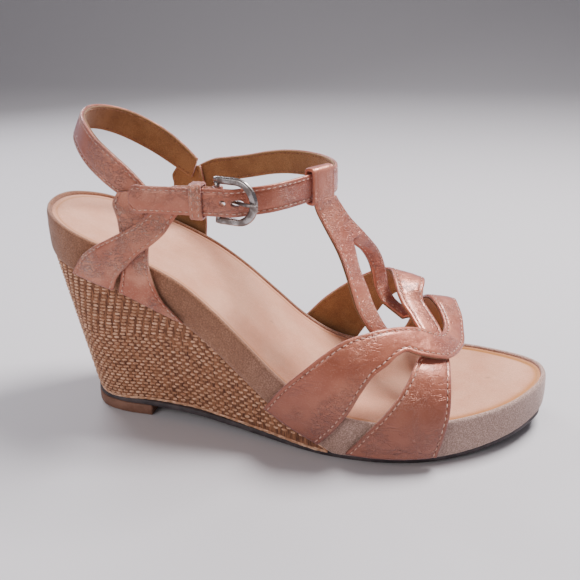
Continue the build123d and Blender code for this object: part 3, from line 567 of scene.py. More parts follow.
upper = leather_mat("pearl_leather", crackle=0.30, crease=1.0)
upper_crackled = leather_mat("pearl_leather_crackled", crackle=1.0, crease=0.3, tone=(0.64, 0.25, 0.15), light=(0.95, 0.62, 0.46))
upper_dark = leather_mat("pearl_leather_side", crackle=0.55, crease=0.6, tone=(0.54, 0.195, 0.118))
lining_suede = suede_mat("lining_microsuede", (0.40, 0.215, 0.095), (0.27, 0.135, 0.06), speck=0.45, scale=2600, sheen=0.35)
band_suede = suede_mat("edge_suede_nap", (0.46, 0.22, 0.13), (0.36, 0.16, 0.09), speck=0.62, scale=1750, toe_tone_and_light=(0.64, 0.44, 0.38))
sock_suede = suede_mat("footbed_suede", (0.90, 0.46, 0.30), (0.80, 0.36, 0.22), speck=0.28, scale=2000, sheen=0.45, stain_and_shade=(0.60, 0.27, 0.15), groove=(0.50, 0.205, 0.055))

thread = Mat("stitch_thread", rough=0.7, sheen=0.3)
thread.color(thread.mix(thread.ramp(thread.noise(900, 2, 0.5), 0.35, 0.65), (0.58, 0.28, 0.20), (0.80, 0.52, 0.42)))
thread.add_bump(thread.noise(1.0, 2, 0.5, thread.scaled((4200, 2600, 4200))), 0.5, 0.0002)
thread_dark = Mat("stitch_thread_dark", rough=0.75)
thread_dark.color(thread_dark.mix(thread_dark.ramp(thread_dark.noise(900, 2, 0.5), 0.35, 0.65), (0.16, 0.06, 0.03), (0.34, 0.15, 0.08)))
thread_dark.add_bump(thread_dark.noise(3500, 2, 0.5), 0.5, 0.0002)

pit = Mat("needle_pit", rough=0.9)
pit.color(pit.mix(pit.ramp(pit.noise(800, 2, 0.5), 0.35, 0.65), (0.06, 0.018, 0.010), (0.14, 0.045, 0.025)))
pit.add_bump(pit.noise(2500, 2, 0.5), 0.3, 0.0002)
straw = Mat("straw_dashes", rough=0.55, sheen=0.2)
sv = straw.scaled((260, 260, 1700))
sn = straw.noise(1.0, 3, 0.6, sv)
sc_ = straw.mix(straw.ramp(straw.noise(420, 2, 0.5), 0.35, 0.66), (0.54, 0.24, 0.12), (0.90, 0.53, 0.34))
straw.color(straw.mix(straw.ramp(sn, 0.52, 0.40, 0.0, 0.7), sc_, (0.30, 0.135, 0.06)))
straw.add_bump(sn, 0.6, 0.0004)

weave = Mat("woven_base", rough=0.8)
wn = weave.noise(1.0, 3, 0.6, weave.scaled((1500, 1500, 200)))
weave.color(weave.mix(weave.ramp(wn, 0.35, 0.65), (0.11, 0.038, 0.020), (0.36, 0.15, 0.072)))
weave.add_bump(wn, 0.8, 0.0008)

sole_rubber = Mat("outsole_rubber_dark", rough=0.62)
sole_rubber.color(sole_rubber.mix(sole_rubber.ramp(sole_rubber.noise(140, 4, 0.6), 0.35, 0.7), (0.040, 0.030, 0.034), (0.085, 0.066, 0.070)))
sole_rubber.add_bump(sole_rubber.noise(1600, 3, 0.6), 0.35, 0.0003)
lift_rubber = Mat("heel_lift_rubber_tan", rough=0.6)
lift_rubber.color(lift_rubber.mix(lift_rubber.ramp(lift_rubber.noise(120, 4, 0.6), 0.3, 0.7), (0.17, 0.075, 0.045), (0.27, 0.13, 0.085)))
lift_rubber.add_bump(lift_rubber.noise(1800, 3, 0.6), 0.35, 0.0003)

pewter = Mat("antique_pewter", rough=0.3, metallic=1.0)
pn = pewter.noise(260, 3, 0.55)
pewter.color(pewter.mix(pewter.ramp(pn, 0.38, 0.62), (0.20, 0.165, 0.15), (0.46, 0.42, 0.41)))
pewter.roughness(pewter.ramp(pn, 0.35, 0.7, 0.42, 0.2))
pewter.add_bump(pewter.noise(700, 2, 0.5), 0.05, 0.0002)

steel = Mat("plain_steel", rough=0.35, metallic=1.0)
steel.color(steel.mix(steel.ramp(steel.noise(300, 3, 0.5), 0.4, 0.6), (0.48, 0.48, 0.49), (0.66, 0.66, 0.67)))
steel.add_bump(steel.noise(1.0, 2, 0.5, steel.scaled((200, 2600, 2600))), 0.1, 0.0002)
cork = Mat("core_foam", rough=0.9)
cork.color(cork.mix(cork.ramp(cork.cells(700, None, "F1"), 0.1, 0.6), (0.46, 0.30, 0.18), (0.66, 0.48, 0.32)))
cork.add_bump(cork.cells(700, None, "F1"), 0.4, 0.0005)
board = Mat("fibre_board_brown", rough=0.88)
board.color(board.mix(board.ramp(board.noise(1.0, 4, 0.6, board.scaled((300, 1400, 1400))), 0.35, 0.65), (0.24, 0.15, 0.09), (0.42, 0.29, 0.18)))
board.add_bump(board.noise(1200, 3, 0.6), 0.3, 0.0003)
foam = Mat("open_foam", rough=0.95, sheen=0.2)
foam.color(foam.mix(foam.ramp(foam.cells(1500, None, "F1"), 0.1, 0.6), (0.62, 0.52, 0.32), (0.86, 0.78, 0.55)))
foam.add_bump(foam.cells(1500, None, "F1"), 0.6, 0.0005)
hole_dark = None

# ---------------------------------------------------------------- footbed, band and sole


def rings(insets, inner=10):
    """plan points: one ring per inset, then rings shrinking to the spine"""
    out = []
    for d in insets:
        out.append(edge + edge_in * d)
    last = out[-1]
    sx = np.clip(last[:, 0], 26, 208)
    spine = np.stack([sx, mid_line(sx)], 1)
    for r in range(1, inner + 1):
        out.append(last + (spine - last) * (r / inner) * 0.999)
    return out


def slab_from_rings(name, insets, top, bottom, mat, node, marks=None, inner=10, body="sandal"):
    """closed slab: top(x, y, inset), bottom(x, y)"""
    rs = rings(insets, inner)
    n = len(edge)
    verts, mk = [], []
    depth_of = list(insets) + [insets[-1] + 3.0 * (i + 1) for i in range(inner)]
    for r, d in zip(rs, depth_of):
        z = top(r[:, 0], r[:, 1], d)
        verts.append(np.column_stack([r, z]))
        mk.append(marks(r[:, 0], d) if marks else np.zeros(n))
    nt = len(rs)
    for r, d in zip(rs, depth_of):
        verts.append(np.column_stack([r, bottom(r[:, 0])]))
        mk.append(np.zeros(n))
    f = []
    for base, flip in ((0, False), (nt * n, True)):
        for i in range(nt - 1):
            for j in range(n):
                a = base + i * n + j
                b = base + i * n + (j + 1) % n
                q = (a, b, b + n, a + n)
                f.append(q[::-1] if flip else q)
    for j in range(n):
        a, b = j, (j + 1) % n
        f.append((a, a + nt * n, b + nt * n, b))
    return make(name, np.vstack(verts), f, mat, body, node, marks=np.concatenate(mk))


def sock_height(x, y, d):
    z = rim_z(x) - 1.25
    z = z - 0.75 * np.exp(-((d - 4.1) / 0.95) ** 2) * toe_side(x)
    z = z - 0.22 * np.exp(-((d - 4.3) / 0.45) ** 2) * (1 - toe_side(x))
    # lightly worn hollows under the heel and the ball
    return z - 0.35 * np.exp(-((x - 45) / 24) ** 2 - (y / 20) ** 2) - 0.35 * np.exp(-((x - 178) / 26) ** 2 - (y / 26) ** 2) + 0.10


def toe_side(x):
    return np.clip((x - 176) / 22.0, 0, 1)


def sock_marks(x, d):
    t = toe_side(x)
    wide = np.exp(-((d - 3.7) / 1.9) ** 2) * t * 0.98
    thin = np.exp(-((d - 4.3) / 0.5) ** 2) * (1 - t) * 0.6
    return np.clip(wide + thin, 0, 1)


slab_from_rings("footbed_sock", [2.25, 2.6, 3.0, 3.4, 3.8, 4.1, 4.3, 4.5, 4.8, 5.3, 6.0, 7.5, 9.5], sock_height, lambda x: rim_z(x) - 2.4,
                sock_suede, "insole_sock", sock_marks, inner=12)
pad = slab_from_rings("foam_pad_soft", [1.6, 2.2, 3.4, 6.0, 9.5], lambda x, y, d: rim_z(x) - 2.6 - 0.35 * np.exp(-max(0, d - 1.6) / 1.2), lambda x: rim_z(x) - 5.4,
                      foam.m, "foam_pad", inner=8)

band_profile = [(2.15, "t", -2.0), (2.15, "t", -1.15), (2.05, "t", -0.55), (1.75, "t", -0.18), (1.3, "t", 0.0), (0.8, "t", -0.06), (0.4, "t", -0.32), (0.12, "t", -0.8), (-0.05, "t", -1.5)]
band_profile += [(-0.12, "f", k / 10.0) for k in range(1, 10)]
band_profile += [(0.0, "b", 1.0), (0.15, "b", 0.4), (0.5, "b", 0.05), (1.3, "b", 0.0)]
bv = []
for ins, kind, val in band_profile:
    p = edge + edge_in * ins
    zt, zb = rim_z(edge[:, 0]), under_platform(edge[:, 0]) + 0.02
    if kind == "t":
        z = zt + val
    elif kind == "b":
        z = zb + val
    else:
        z = (zt - 1.5) + (zb + 1.0 - zt + 1.5) * val
        puff = 0.22 * math.sin(math.pi * val)
        p = p - edge_in * puff
    if kind != "t" or val < -0.3:
        jig = np.array([noise.noise(Vector((a * 0.35, b * 0.35, c * 0.5))) for a, b, c in zip(p[:, 0], p[:, 1], z)])
        p = p - edge_in * (jig * 0.10)[:, None]
    bv.append(np.column_stack([p, z]))
bv = np.array(bv)                     # profile x boundary
k = len(band_profile)
bv = bv.transpose(1, 0, 2).reshape(-1, 3)
make("platform_side_suede", bv, tube_faces(len(edge), k, closed_run=True), band_suede, "sandal", "platform_band")


def outline_slab(name, pts, top, bottom, mat, node, bevel=0.5, spine=None, smooth_n=None):
    """closed slab over a plan outline, with eased edges"""
    p = closed_curve(pts, smooth_n) if smooth_n else np.array(pts, float)
    nin = inward(p)
    prof = [(0.55, 1, 0.0), (0.2, 1, -0.12), (0.0, 1, -0.5), (0.0, 0, 0.5), (0.2, 0, 0.12), (0.55, 0, 0.0)]
    vs = []
    for ins, up, dz in prof:
        q = p + nin * ins * bevel / 0.5
        z = (top(q[:, 0]) if up else bottom(q[:, 0])) + dz * bevel / 0.5
        vs.append(np.column_stack([q, z]))
    n = len(p)
    cx = np.clip(p[:, 0], *spine[0])
    cy = np.full(n, 0.0) if spine[1] is None else spine[1](cx)
    for up, order in ((0, 1), (1, 1)):
        for r in (0.25, 0.5, 0.75, 0.999):
            q = p * (1 - r) + np.column_stack([cx, cy]) * r
            z = top(q[:, 0]) if up else bottom(q[:, 0])
            vs.append(np.column_stack([q, z]))
    f = []

    def join(a, b):
        for j in range(n):
            f.append((a * n + j, a * n + (j + 1) % n, b * n + (j + 1) % n, b * n + j))
    for i in range(5):
        join(i, i + 1)
    chain = [5, 6, 7, 8, 9]
    for a, b in zip(chain, chain[1:]):
        join(a, b)
    chain = [0, 10, 11, 12, 13]
    for a, b in zip(chain, chain[1:]):
        join(b, a)
    return make(name, np.vstack(vs), f, mat, "sandal", node)


foot = [(r[0], r[1] - 1.5, r[2] - 1.5) for r in outline if r[0] > 150]
lat = [(17.0, -6.0), (19.5, -14.5), (26.0, -22.0), (36.0, -26.0), (52, -27.6), (75, -29.5), (100, -34.5), (125, -40.2), (142, -43.6)] + [(x, -a) for x, a, b in foot]
med = [(17.0, 6.0), (19.5, 14.0), (26.0, 20.6), (36.0, 24.0), (52, 25.0), (75, 24.6), (100, 24.6), (125, 26.8), (142, 31.0)] + [(x, b) for x, a, b in foot]
outline_slab("outsole_tread", lat + [(238.7, 9.0)] + list(reversed(med)), tread_top, lambda x: tread_z(np.clip(x, 8, 248)), sole_rubber.m, "outsole",
             bevel=0.45, spine=((40, 205), mid_line), smooth_n=420)

back = np.array([(53.5, -27.6), (36.0, -26.2), (26.0, -22.4), (19.3, -14.6), (16.8, 0.0), (19.3, 14.2), (26.0, 21.0), (36.0, 24.4), (53.5, 25.2)], float)
tt = np.concatenate([[0], np.cumsum(np.linalg.norm(np.diff(back, axis=0), axis=1))])
arc = hermite(tt, back, np.linspace(0, tt[-1], 90))
front = np.column_stack([np.full(30, 53.5), np.linspace(25.2, -27.6, 32)[1:-1]])
lift_out = np.vstack([arc, front])[::-1]
outline_slab("heel_lift_block", lift_out, lambda x: np.full(len(x), 5.4), lambda x: np.zeros(len(x)), lift_rubber.m, "heel_lift", bevel=0.5, spine=((34, 40), None))

# ---------------------------------------------------------------- woven wedge

wrap_edge = edge + edge_in * 0.6


def wedge_at(i, z, out=0.0):
    """point on the wrap at fractional boundary index i and height z"""
    i = np.asarray(i, float) % len(edge)
    a = np.floor(i).astype(int)
    fr = (i - a)[:, None]
    b = (a + 1) % len(edge)
    p = wrap_edge[a] * (1 - fr) + wrap_edge[b] * fr
    nn = unit(edge_in[a] * (1 - fr) + edge_in[b] * fr)
    k = np.clip((84.0 - z) / 78.5, 0, 1)
    x, y = p[:, 0], p[:, 1]
    w = np.where(x < 60, np.where(x > 8, 1 - (x - 8) / 52.0, 1.0), 0.0)
    xs = x + 15.2 * k * w
    ys = y * (1 - 0.135 * k * np.clip((140 - x) / 60.0, 0, 1))
    q = np.column_stack([xs, ys, z])
    q[:, :2] -= nn * out
    return q, nn


order = np.arange(len(edge))
gap = under_platform(edge[:, 0]) - tread_top(edge[:, 0])
has = gap > 1.0
toe_i = int(np.argmax(edge[:, 0]))
seq = [(toe_i + j) % len(edge) for j in range(len(edge))]
seq = [j for j in seq if has[j]]
levels = 44
wv = []
for j in seq:
    x = edge[j, 0]
    zt = float(under_platform(x)[0]) - 0.1
    zc = np.linspace(0, 1, levels)
    xb = x
    for _ in range(4):
        q, _n = wedge_at([j], np.array([float(tread_top(xb)[0]) + 0.15]))
        xb = q[0, 0]
    zb = float(tread_top(xb)[0]) + 0.15
    z = zb + (zt - zb) * zc
    q, nn = wedge_at([j] * levels, z, 0.0)
    q[0, 2] -= 0.0
    wv.append(q)
wv = np.array(wv)
# inner skin so that the wrap is a closed layer
nrow = len(seq)
inner_skin = wv.copy()
cen = np.array([90.0, -2.0])
for r, j in enumerate(seq):
    inner_skin[r, :, :2] += edge_in[j] * 1.1
profile = np.concatenate([wv, inner_skin[:, ::-1]], axis=1)
wrap_verts = profile.reshape(-1, 3)
wrap = make("wedge_wrap_base", wrap_verts, tube_faces(nrow, levels * 2), weave.m, "sandal", "wedge_cover")

seg = np.linalg.norm(np.diff(wrap_edge[seq], axis=0), axis=1)
s_len = np.concatenate([[0], np.cumsum(seg)])
ii = np.array([seq[0] + r for r in range(len(seq))], float)      # unwrapped index along the sequence
dash_v, dash_f = [], []
rng = random.Random(21)
pitch, row_h = 4.4, 1.78
for j in range(70):
    z0 = 8.6 + j * row_h
    if z0 > 90:
        break
    off = 0.5 * pitch * (j % 2) if z0 < 40 else 0.5 * pitch * (j % 2) * max(0, 1 - (z0 - 40) / 8.0) + 0.16 * pitch * (j - 17)
    for q in np.arange(off % pitch + 0.6, s_len[-1] - 0.6, pitch):
        qq = q + rng.uniform(-0.22, 0.22)
        fi = np.interp([qq - 0.6, qq, qq + 0.6], s_len, ii)
        z = z0 + rng.uniform(-0.12, 0.12)
        P, N = wedge_at(fi, np.array([z, z, z]), 0.12)
        x = P[1, 0]
        xe = float(wrap_edge[int(round(fi[1])) % len(edge), 0])
        top_z = float(under_platform(xe)[0]) - 0.8
        bot_z = float(tread_top(x)[0]) + 1.0
        if not (bot_z < z < top_z):
            continue
        along = unit(P[2] - P[0])
        up0 = np.array([-N[1, 0] * 0.0, 0.0, 1.0])
        outn = unit(np.array([-N[1, 0], -N[1, 1], 0.10]))
        base = len(dash_v)
        dash_v += capsule(P[1], along, outn, rng.uniform(2.7, 3.4), rng.uniform(1.05, 1.35), 0.80, sides=8, rings=6, dip=0.42)
        dash_f += tube_faces(6, 8, base=base)
straw_ob = make("wedge_straw", dash_v, dash_f, straw.m, "sandal", None)

# rolled edge along the foot of the wrap and along its top
for nm, level, rad in (("wedge_wrap_hem", 0, 0.75), ("wedge_wrap_top_edge", levels - 1, 0.45)):
    path = wv[:, level].copy()
    ev, sides = [], 8
    tan = unit(np.gradient(path, axis=0))
    for r in range(0, nrow):
        t = tan[r]
        o = np.array([-edge_in[seq[r]][0], -edge_in[seq[r]][1], 0.0])
        u = unit(np.cross(o, t))
        rr = rad * (1 + 0.22 * noise.noise(Vector(path[r] * 0.9)) + 0.10 * math.sin(r * 1.1))
        for s in range(sides):
            a = 2 * math.pi * s / sides
            lift_z = 0.45 if level == 0 else -0.1
            ev.append(path[r] + o * (math.cos(a) * rr * 0.8 - 0.15) + u * math.sin(a) * rr + np.array([0, 0, lift_z]))
    make(nm, ev, tube_faces(nrow, sides), straw.m, "sandal", None)

# ---------------------------------------------------------------- straps


def from_foot(m):
    return np.array([0.35 * (m[0] - 150) / 50.0 + 0.3, m[1] / 30.0, (m[2] - rim_z(m[0])[0] + 4) / 26.0])


def from_ankle(m):
    return np.array([max(0.0, m[0] - 112) / 10.0, m[1] / 30.0, 0.0])


def from_heel(m):
    return np.array([min(0.0, m[0] - 45) / 22.0, m[1] / 30.0, -0.2])


def from_tbar(m):
    return np.array([0.75, -0.35 + m[1] / 60.0, 0.45])


def strap(name, rows, outward, node, mat, body="sandal", both=True, rough=0.12, pitch=2.9, insets=(1.9, -1.9), skip=(0, 0), thread_mat=None, cut=None, blend=None, seed=0.0, grooves=True):
    st = Strap(rows, outward)
    v, f = ribbon_mesh(st, 0.9, 1.2, rough=rough, seed=seed, grooves=grooves)
    ob = make(name + "_leather", v, f, mat)
    v, f = ribbon_mesh(st, 0.0, 0.82, rough=0.03, inset=0.25, grooves=False, middle=5)
    ob2 = make(name + "_lining_suede", v, f, lining_suede)
    if cut:
        for o in (ob, ob2):
            drill(o, cut)
    v, f = stitches(st, insets, 2.12, pitch=pitch, skip=skip, rng=random.Random(int(seed * 10) + 5))
    ob3 = make(name + "_stitches", v, f, (thread_mat or thread).m)
    v, f = needle_holes(st, insets, 1.93, pitch=pitch, skip=skip)
    ob5 = make(name + "_needle_holes", v, f, pit.m)
    v, f = stitches(st, insets, -0.02, pitch=pitch, skip=skip, wide=0.5, high=0.34, rng=random.Random(int(seed * 10) + 6))
    ob4 = make(name + "_lining_stitches", v, f, thread_dark.m)
    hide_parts(node)
    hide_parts(node + "_lining" if not node.startswith("vamp") else node.replace("_strap", "_lining"))
    for o, sl in ((ob, "upper_leather"), (ob2, "lining_suede"), (ob3, "upper_leather"), (ob4, "lining_suede"), (ob5, "upper_leather")):
        if blend:
            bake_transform(o)
        else:
            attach(o, body)
    return st


def drill(ob, spots):
    """round or long holes through a strap, along Y"""
    for x, z, w, h in spots:
        bpy.ops.mesh.primitive_cylinder_add(vertices=32, radius=0.5, depth=0.012, location=((x - origin_x) / 1000, strap_y / 1000, z / 1000), rotation=(math.pi / 2, 0, 0))
        c = bpy.context.object
        c.scale = (w / 1000.0, h / 1000.0, 1.0)
        c.dimensions = (w / 1000.0, h / 1000.0, 0.012)
        bpy.context.view_layer.update()
        mod = ob.modifiers.new("hole", "BOOLEAN")
        mod.operation = "DIFFERENCE"
        mod.solver = "EXACT"
        mod.object = c
        bpy.context.view_layer.update()
        me = bpy.data.meshes.new_from_object(ob.evaluated_get(bpy.context.evaluated_depsgraph_get()))
        ob.modifiers.clear()
        old = ob.data
        ob.data = me
        bpy.data.objects.remove(c)


strap("vamp_rear", vamp_rear_rows, from_foot, "vamp_rear_strap", upper, seed=1.3, rough=0.2)
strap("vamp_front", vamp_front_rows, from_foot, "vamp_front_strap", upper, seed=2.1, rough=0.2)
holes = [(100.5, strap_z, 2.5, 2.5), (106.5, strap_z, 5.0, 2.6)]
strap("ankle_strap", ankle_rows, from_ankle, "ankle_strap", upper_dark, seed=3.7, cut=holes, insets=(1.5, -1.5), pitch=2.6)
strap("outer_quarter", upright_rows, from_ankle, "outer_quarter", upper_crackled, seed=4.4, insets=(1.7, -1.7))
strap("inner_quarter", inner_quarter_rows, from_ankle, "inner_quarter", upper_crackled, seed=5.2, insets=(1.7, -1.7))
strap("buckle_strap", buckle_strap_rows + [((95.4, -35.4, 120.3), (95.4, -35.4, 108.3), 0.1)], from_ankle, "buckle_strap", upper_crackled, seed=6.9, insets=(1.6, -1.6))
strap("heel_strap", heel_rows, from_heel, "heel_strap", upper_dark, body=None, seed=7.7, insets=(1.6, -1.6), pitch=2.6,
      blend=(((62 - origin_x) / 1000, 0, 0.113), ((45 - origin_x) / 1000, 0, 0.124)))

# T-bar: stem and bowed legs grown together into one cut piece
t_objs = []
tb = [(stem_rows, "a"), (leg_out_rows, "b"), (leg_in_rows, "c")]
for layer, lo_, th, mat_, nm, node_ in ((0, 0.9, 1.25, upper, "t_bar_leather", "t_bar"), (1, 0.0, 0.85, lining_suede, "t_bar_lining_suede", "t_bar_lining")):
    parts = []
    for rows, tag in tb:
        st = Strap(rows, from_tbar)
        v, f = ribbon_mesh(st, lo_, th, rough=0.0, grooves=False, middle=5)
        parts.append(make(nm + tag, v, f, mat_))
    me_v, me_f = [], []
    base = 0
    for o in parts:
        me_v += [tuple(vv.co) for vv in o.data.vertices]
        me_f += [tuple(i + base for i in p.vertices) for p in o.data.polygons]
        base = len(me_v)
        bpy.data.objects.remove(o)
    me = bpy.data.meshes.new(nm)
    me.from_pydata(me_v, [], me_f)
    ob = bpy.data.objects.new(nm, me)
    bpy.context.scene.collection.objects.link(ob)
    mod = ob.modifiers.new("grow", "REMESH")
    mod.mode = "VOXEL"
    mod.voxel_size = 0.00026
    sm = ob.modifiers.new("ease", "SMOOTH")
    sm.iterations = 3
    sm.factor = 0.5
    bpy.context.view_layer.update()
    fin = bpy.data.meshes.new_from_object(ob.evaluated_get(bpy.context.evaluated_depsgraph_get()))
    ob.modifiers.clear()
    ob.data = fin
    fin.materials.clear()
    fin.materials.append(mat_)
    fin.polygons.foreach_set("use_smooth", [True] * len(fin.polygons))
    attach(ob, "sandal")
    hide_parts(node_)
tv, tf = [], []
for rows, ins, skip in ((stem_rows, (1.6, -1.6), (0, 3)), (leg_out_rows, (1.5,), (4, 0)), (leg_out_rows, (-1.5,), (10, 0)), (leg_in_rows, (1.5,), (9, 0)), (leg_in_rows, (-1.5,), (4, 0))):
    st = Strap(rows, from_tbar)
    v, f = stitches(st, ins, 2.16, skip=skip)
    if len(v):
        tf += [tuple(i + len(tv) for i in q) for q in f]
        tv += list(v)
make("t_bar_stitches", tv, tf, thread.m, "sandal", None)


def band_ring(name, centre, u, v, run, wu, wv_, thick, length, mat, body, node, corner=1.6, rough=0.06, stitch=None):
    """flat band closed round a strap"""
    path = []
    for cx, cy, a0 in ((1, 1, 0), (-1, 1, 90), (-1, -1, 180), (1, -1, 270)):
        for s in range(9):
            a = math.radians(a0 + s * 11.25)
            path.append(((wu / 2 - corner) * cx + math.cos(a) * corner, (wv_ / 2 - corner) * cy + math.sin(a) * corner, math.cos(a), math.sin(a)))
    dense = []
    for i in range(len(path)):
        a, b = path[i], path[(i + 1) % len(path)]
        gapd = math.hypot(b[0] - a[0], b[1] - a[1])
        m_ = max(1, int(gapd / 0.7))
        for s in range(m_):
            t = s / m_
            dense.append([a[q] * (1 - t) + b[q] * t for q in range(4)])
    cross = []
    h = length / 2
    for e, d in ((-h, 0.5), (-h + 0.1, 0.8), (-h + 0.35, 0.97), (-h + 1.0, 1.03), (-h + 1.5, 0.93), (-h + 2.0, 1.03)):
        cross.append((e, d))
    n_mid = 5
    cross += [(-h + 2.0 + (2 * h - 4.0) * (j + 1) / (n_mid + 1), 1.05) for j in range(n_mid)]
    cross += [(h - 2.0, 1.03), (h - 1.5, 0.93), (h - 1.0, 1.03), (h - 0.35, 0.97), (h - 0.1, 0.8), (h, 0.5), (h - 0.1, 0.15), (h - 0.4, 0.0), (0, 0.0), (-h + 0.4, 0.0), (-h + 0.1, 0.15)]
    vs = []
    for px, py, nx, ny in dense:
        for e, d in cross:
            dd = (d - 1.0) * thick
            p = centre + u * (px + nx * dd) + v * (py + ny * dd) + run * e
            if rough:
                p = p + (u * nx + v * ny) * noise.noise(Vector(p * 0.3)) * rough
            vs.append(p)
    return make(name, vs, tube_faces(len(dense), len(cross), closed_run=True), mat, body, node)


U, V, W = np.array([1.0, 0, 0]), np.array([0, 1.0, 0]), np.array([0, 0, 1.0])
band_ring("keeper_leather", np.array([keeper_x + keeper_wide / 2, -37.72, strap_z]), V, W, U, 7.9, 15.4, 1.25, keeper_wide, upper_crackled, "keeper", "keeper_loop", corner=1.9)
kv, kf = [], []
for dx in (-1.4, 1.4):
    for i in range(5):
        c = np.array([keeper_x + keeper_wide / 2 + dx, -41.66, strap_z - 5.2 + i * 2.6])
        b0 = len(kv)
        kv += capsule(c, W, -V, 1.9, 0.5, 0.42, dip=0.25)
        kf += tube_faces(5, 6, base=b0)
make("keeper_stitches", kv, kf, thread.m, "keeper", None)
lm = np.array([134.2, -8.1, 115.8])
lr = unit(np.array([0.534, 0.845, 0.0]))
lo2 = unit(np.array([0.845, -0.534, 0.0]))
band_ring("t_bar_head_loop", lm + lo2 * 1.05, lo2, W, lr, 6.0, 16.6, 1.5, 13.2, upper, "sandal", None, corner=2.2, rough=0.15)

# ---------------------------------------------------------------- buckle

tr = math.radians(tilt)
fd = np.array([math.cos(tr), -math.sin(tr), 0.0])
fu = np.array([-math.sin(tr), -math.cos(tr), 0.0])
fo = np.array([bar_x, bar_y, strap_z])
path = [(-1.3, 8.6), (0.6, 8.65), (3.0, 8.65), (6.0, 8.65)]
path += [(9.0 + 8.45 * math.sin(math.radians(a)), 8.65 * math.cos(math.radians(a))) for a in range(0, 181, 5)]
path += [(6.0, -8.65), (3.0, -8.65), (0.6, -8.65), (-1.3, -8.6)]
pa = np.array(path)
tg = unit(np.gradient(pa, axis=0))
sec = [(-1.55, -0.75), (-1.62, -0.2), (-1.5, 0.35), (-1.05, 0.82), (-0.75, 0.9), (0.75, 0.9), (1.05, 0.82), (1.5, 0.35), (1.62, -0.2), (1.55, -0.75), (1.1, -0.9), (-1.1, -0.9)]
bvv = []
for i, (p, t) in enumerate(zip(pa, tg)):
    nrm = np.array([-t[1], t[0]])
    wide = 1.0 + 0.14 * math.exp(-((p[0] - 17.0) / 4.0) ** 2)
    end = 0.86 if i in (0, len(pa) - 1) else 1.0
    for a, b in sec:
        q = p + nrm * a * wide * end
        bvv.append(fo + fd * q[0] + W * q[1] + fu * b * end)
frame_ob = make("buckle_frame_metal", bvv, tube_faces(len(pa), len(sec)), pewter.m, "buckle_frame", "buckle_frame")
bevel = frame_ob.modifiers.new("ease", "BEVEL")
bevel.width = 0.00018
bevel.segments = 2
bevel.limit_method = "ANGLE"


def tube(points, radii, up=W, sides=16, flat=1.0):
    p = np.array(points, float)
    t = unit(np.gradient(p, axis=0))
    vs = []
    for c, d, r in zip(p, t, radii):
        s = unit(np.cross(d, up))
        w2 = unit(np.cross(s, d))
        for j in range(sides):
            a = 2 * math.pi * j / sides
            vs.append(c + s * math.cos(a) * r * flat + w2 * math.sin(a) * r)
    return vs, tube_faces(len(p), sides)


def smooth_path(pts, n):
    p = np.array(pts, float)
    t = np.concatenate([[0], np.cumsum(np.linalg.norm(np.diff(p, axis=0), axis=1))])
    return hermite(t, p, np.linspace(0, t[-1], n))


v1, f1 = tube([fo + W * z for z in np.linspace(-8.2, 8.2, 9)], [1.19] * 9, up=U, sides=24)
make("buckle_bar", v1, f1, pewter.m, "buckle_frame", None)
pr = smooth_path([(98.6, -35.9, strap_z), (102.9, -36.1, strap_z), (105.85, -37.7, strap_z), (111.55, -41.3, strap_z), (116.2, -42.55, strap_z)], 40)
rad = [0.80 * (1.0 if i < 30 else 1.0 - 0.45 * ((i - 30) / 9.0) ** 2) for i in range(40)]
v1, f1 = tube(pr, rad, flat=0.85)
ringv = []
for i in range(32):
    a = 2 * math.pi * i / 32
    for rr, zz in ((1.26, -0.85), (2.0, -0.95), (2.15, -0.6), (2.15, 0.6), (2.0, 0.95), (1.26, 0.85)):
        ringv.append(np.array([bar_x + math.cos(a) * rr, bar_y + math.sin(a) * rr, strap_z + zz]))
rf = [tuple(i + len(v1) for i in q) for q in tube_faces(32, 6, closed_run=True)]
make("buckle_tongue_metal", list(v1) + ringv, f1 + rf, pewter.m, "buckle_tongue", "buckle_tongue")
# fold of the buckle strap round the bar
fv, ff = [], []
for z0, z1 in ((108.4, 112.6), (116.0, 120.2)):
    base = len(fv)
    for i in range(40):
        a = 2 * math.pi * i / 40
        for rr, zz in ((1.27, z0 + 0.2), (1.6, z0), (2.2, z0 + 0.1), (2.45, z0 + 0.5), (2.45, z1 - 0.5), (2.2, z1 - 0.1), (1.6, z1), (1.27, z1 - 0.2)):
            fv.append(np.array([bar_x + math.cos(a) * rr, bar_y + math.sin(a) * rr, zz]))
    ff += tube_faces(40, 8, closed_run=True, base=base)
make("buckle_strap_fold", fv, ff, upper_crackled, "sandal", None)

# ---------------------------------------------------------------- frame nodes that stay
keep = {"wedge_core": cork, "platform_core": cork, "insole_board": board, "shank": steel, "shank_rivets": steel, "heel_lift_nails": steel}
for nm, mt in keep.items():
    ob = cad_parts[nm]
    ob.data.materials.clear()
    ob.data.materials.append(mt.m)

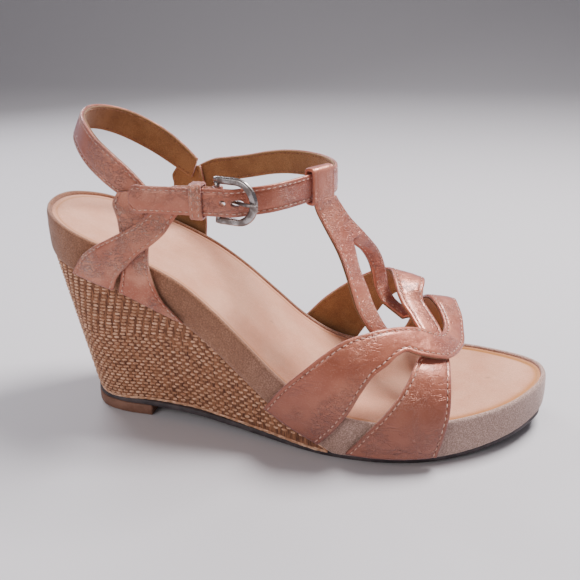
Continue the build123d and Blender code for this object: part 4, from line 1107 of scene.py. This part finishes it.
# ---------------------------------------------------------------- stage, light, camera
floor_m = Mat("floor_plain", rough=0.6)
floor_m.b.inputs["Base Color"].default_value = (0.62, 0.60, 0.62, 1)
floor_me = bpy.data.meshes.new("floor")
prof = [(y, 0.0) for y in np.linspace(-3.0, 1.2, 4)] + [(1.2 + 0.8 * math.sin(a), 0.8 - 0.8 * math.cos(a)) for a in np.linspace(0.1, math.pi / 2, 14)] + [(2.0, 3.5)]
fvs = [(x, y, z - 0.00015) for y, z in prof for x in (-4.0, 4.0)]
ffs = [(2 * i, 2 * i + 1, 2 * i + 3, 2 * i + 2) for i in range(len(prof) - 1)]
floor_me.from_pydata(fvs, [], ffs)
floor_me.polygons.foreach_set("use_smooth", [True] * len(floor_me.polygons))
floor_me.materials.append(floor_m.m)
floor_ob = bpy.data.objects.new("floor", floor_me)
bpy.context.scene.collection.objects.link(floor_ob)


def area(name, loc, target, size, power, color=(1, 1, 1)):
    ld = bpy.data.lights.new(name, "AREA")
    ld.shape = "DISK"
    ld.size = size
    ld.energy = power
    ld.color = color
    lo = bpy.data.objects.new(name, ld)
    lo.location = loc
    d = Vector(target) - Vector(loc)
    lo.rotation_euler = d.to_track_quat("-Z", "Y").to_euler()
    bpy.context.scene.collection.objects.link(lo)


area("key", (0.42, 0.30, 0.85), (0.09, 0, 0.05), 0.40, 18.0, (1.0, 0.97, 0.98))
area("fill", (-0.35, -0.75, 0.50), (0.08, 0, 0.05), 0.7, 3.4, (1.0, 0.95, 0.93))
area("rim", (-0.5, 0.55, 0.55), (0.05, 0, 0.08), 0.5, 5.0, (0.93, 0.93, 1.0))
world = bpy.data.worlds.new("plain")
world.use_nodes = True
world.node_tree.nodes["Background"].inputs["Color"].default_value = (0.90, 0.88, 0.95, 1)
world.node_tree.nodes["Background"].inputs["Strength"].default_value = 0.24
bpy.context.scene.world = world

cam_d = bpy.data.cameras.new("camera")
cam_d.sensor_width = 36.0
cam_d.sensor_fit = "HORIZONTAL"
cam_d.lens = 750.65 / 580.0 * 36.0
cam_d.clip_start = 0.01
cam = bpy.data.objects.new("camera", cam_d)
right = Vector((0.97253765, 0.2319542, -0.01917748))
up = Vector((-0.07043642, 0.37185373, 0.92561521))
fwd = Vector((-0.22183155, 0.89884484, -0.37797978))
rot = Matrix((right, up, -fwd)).transposed()
cam.matrix_world = Matrix.Translation(((198.50 - origin_x) / 1000, -0.32421, 0.19751)) @ rot.to_4x4()
bpy.context.scene.collection.objects.link(cam)
bpy.context.scene.camera = cam
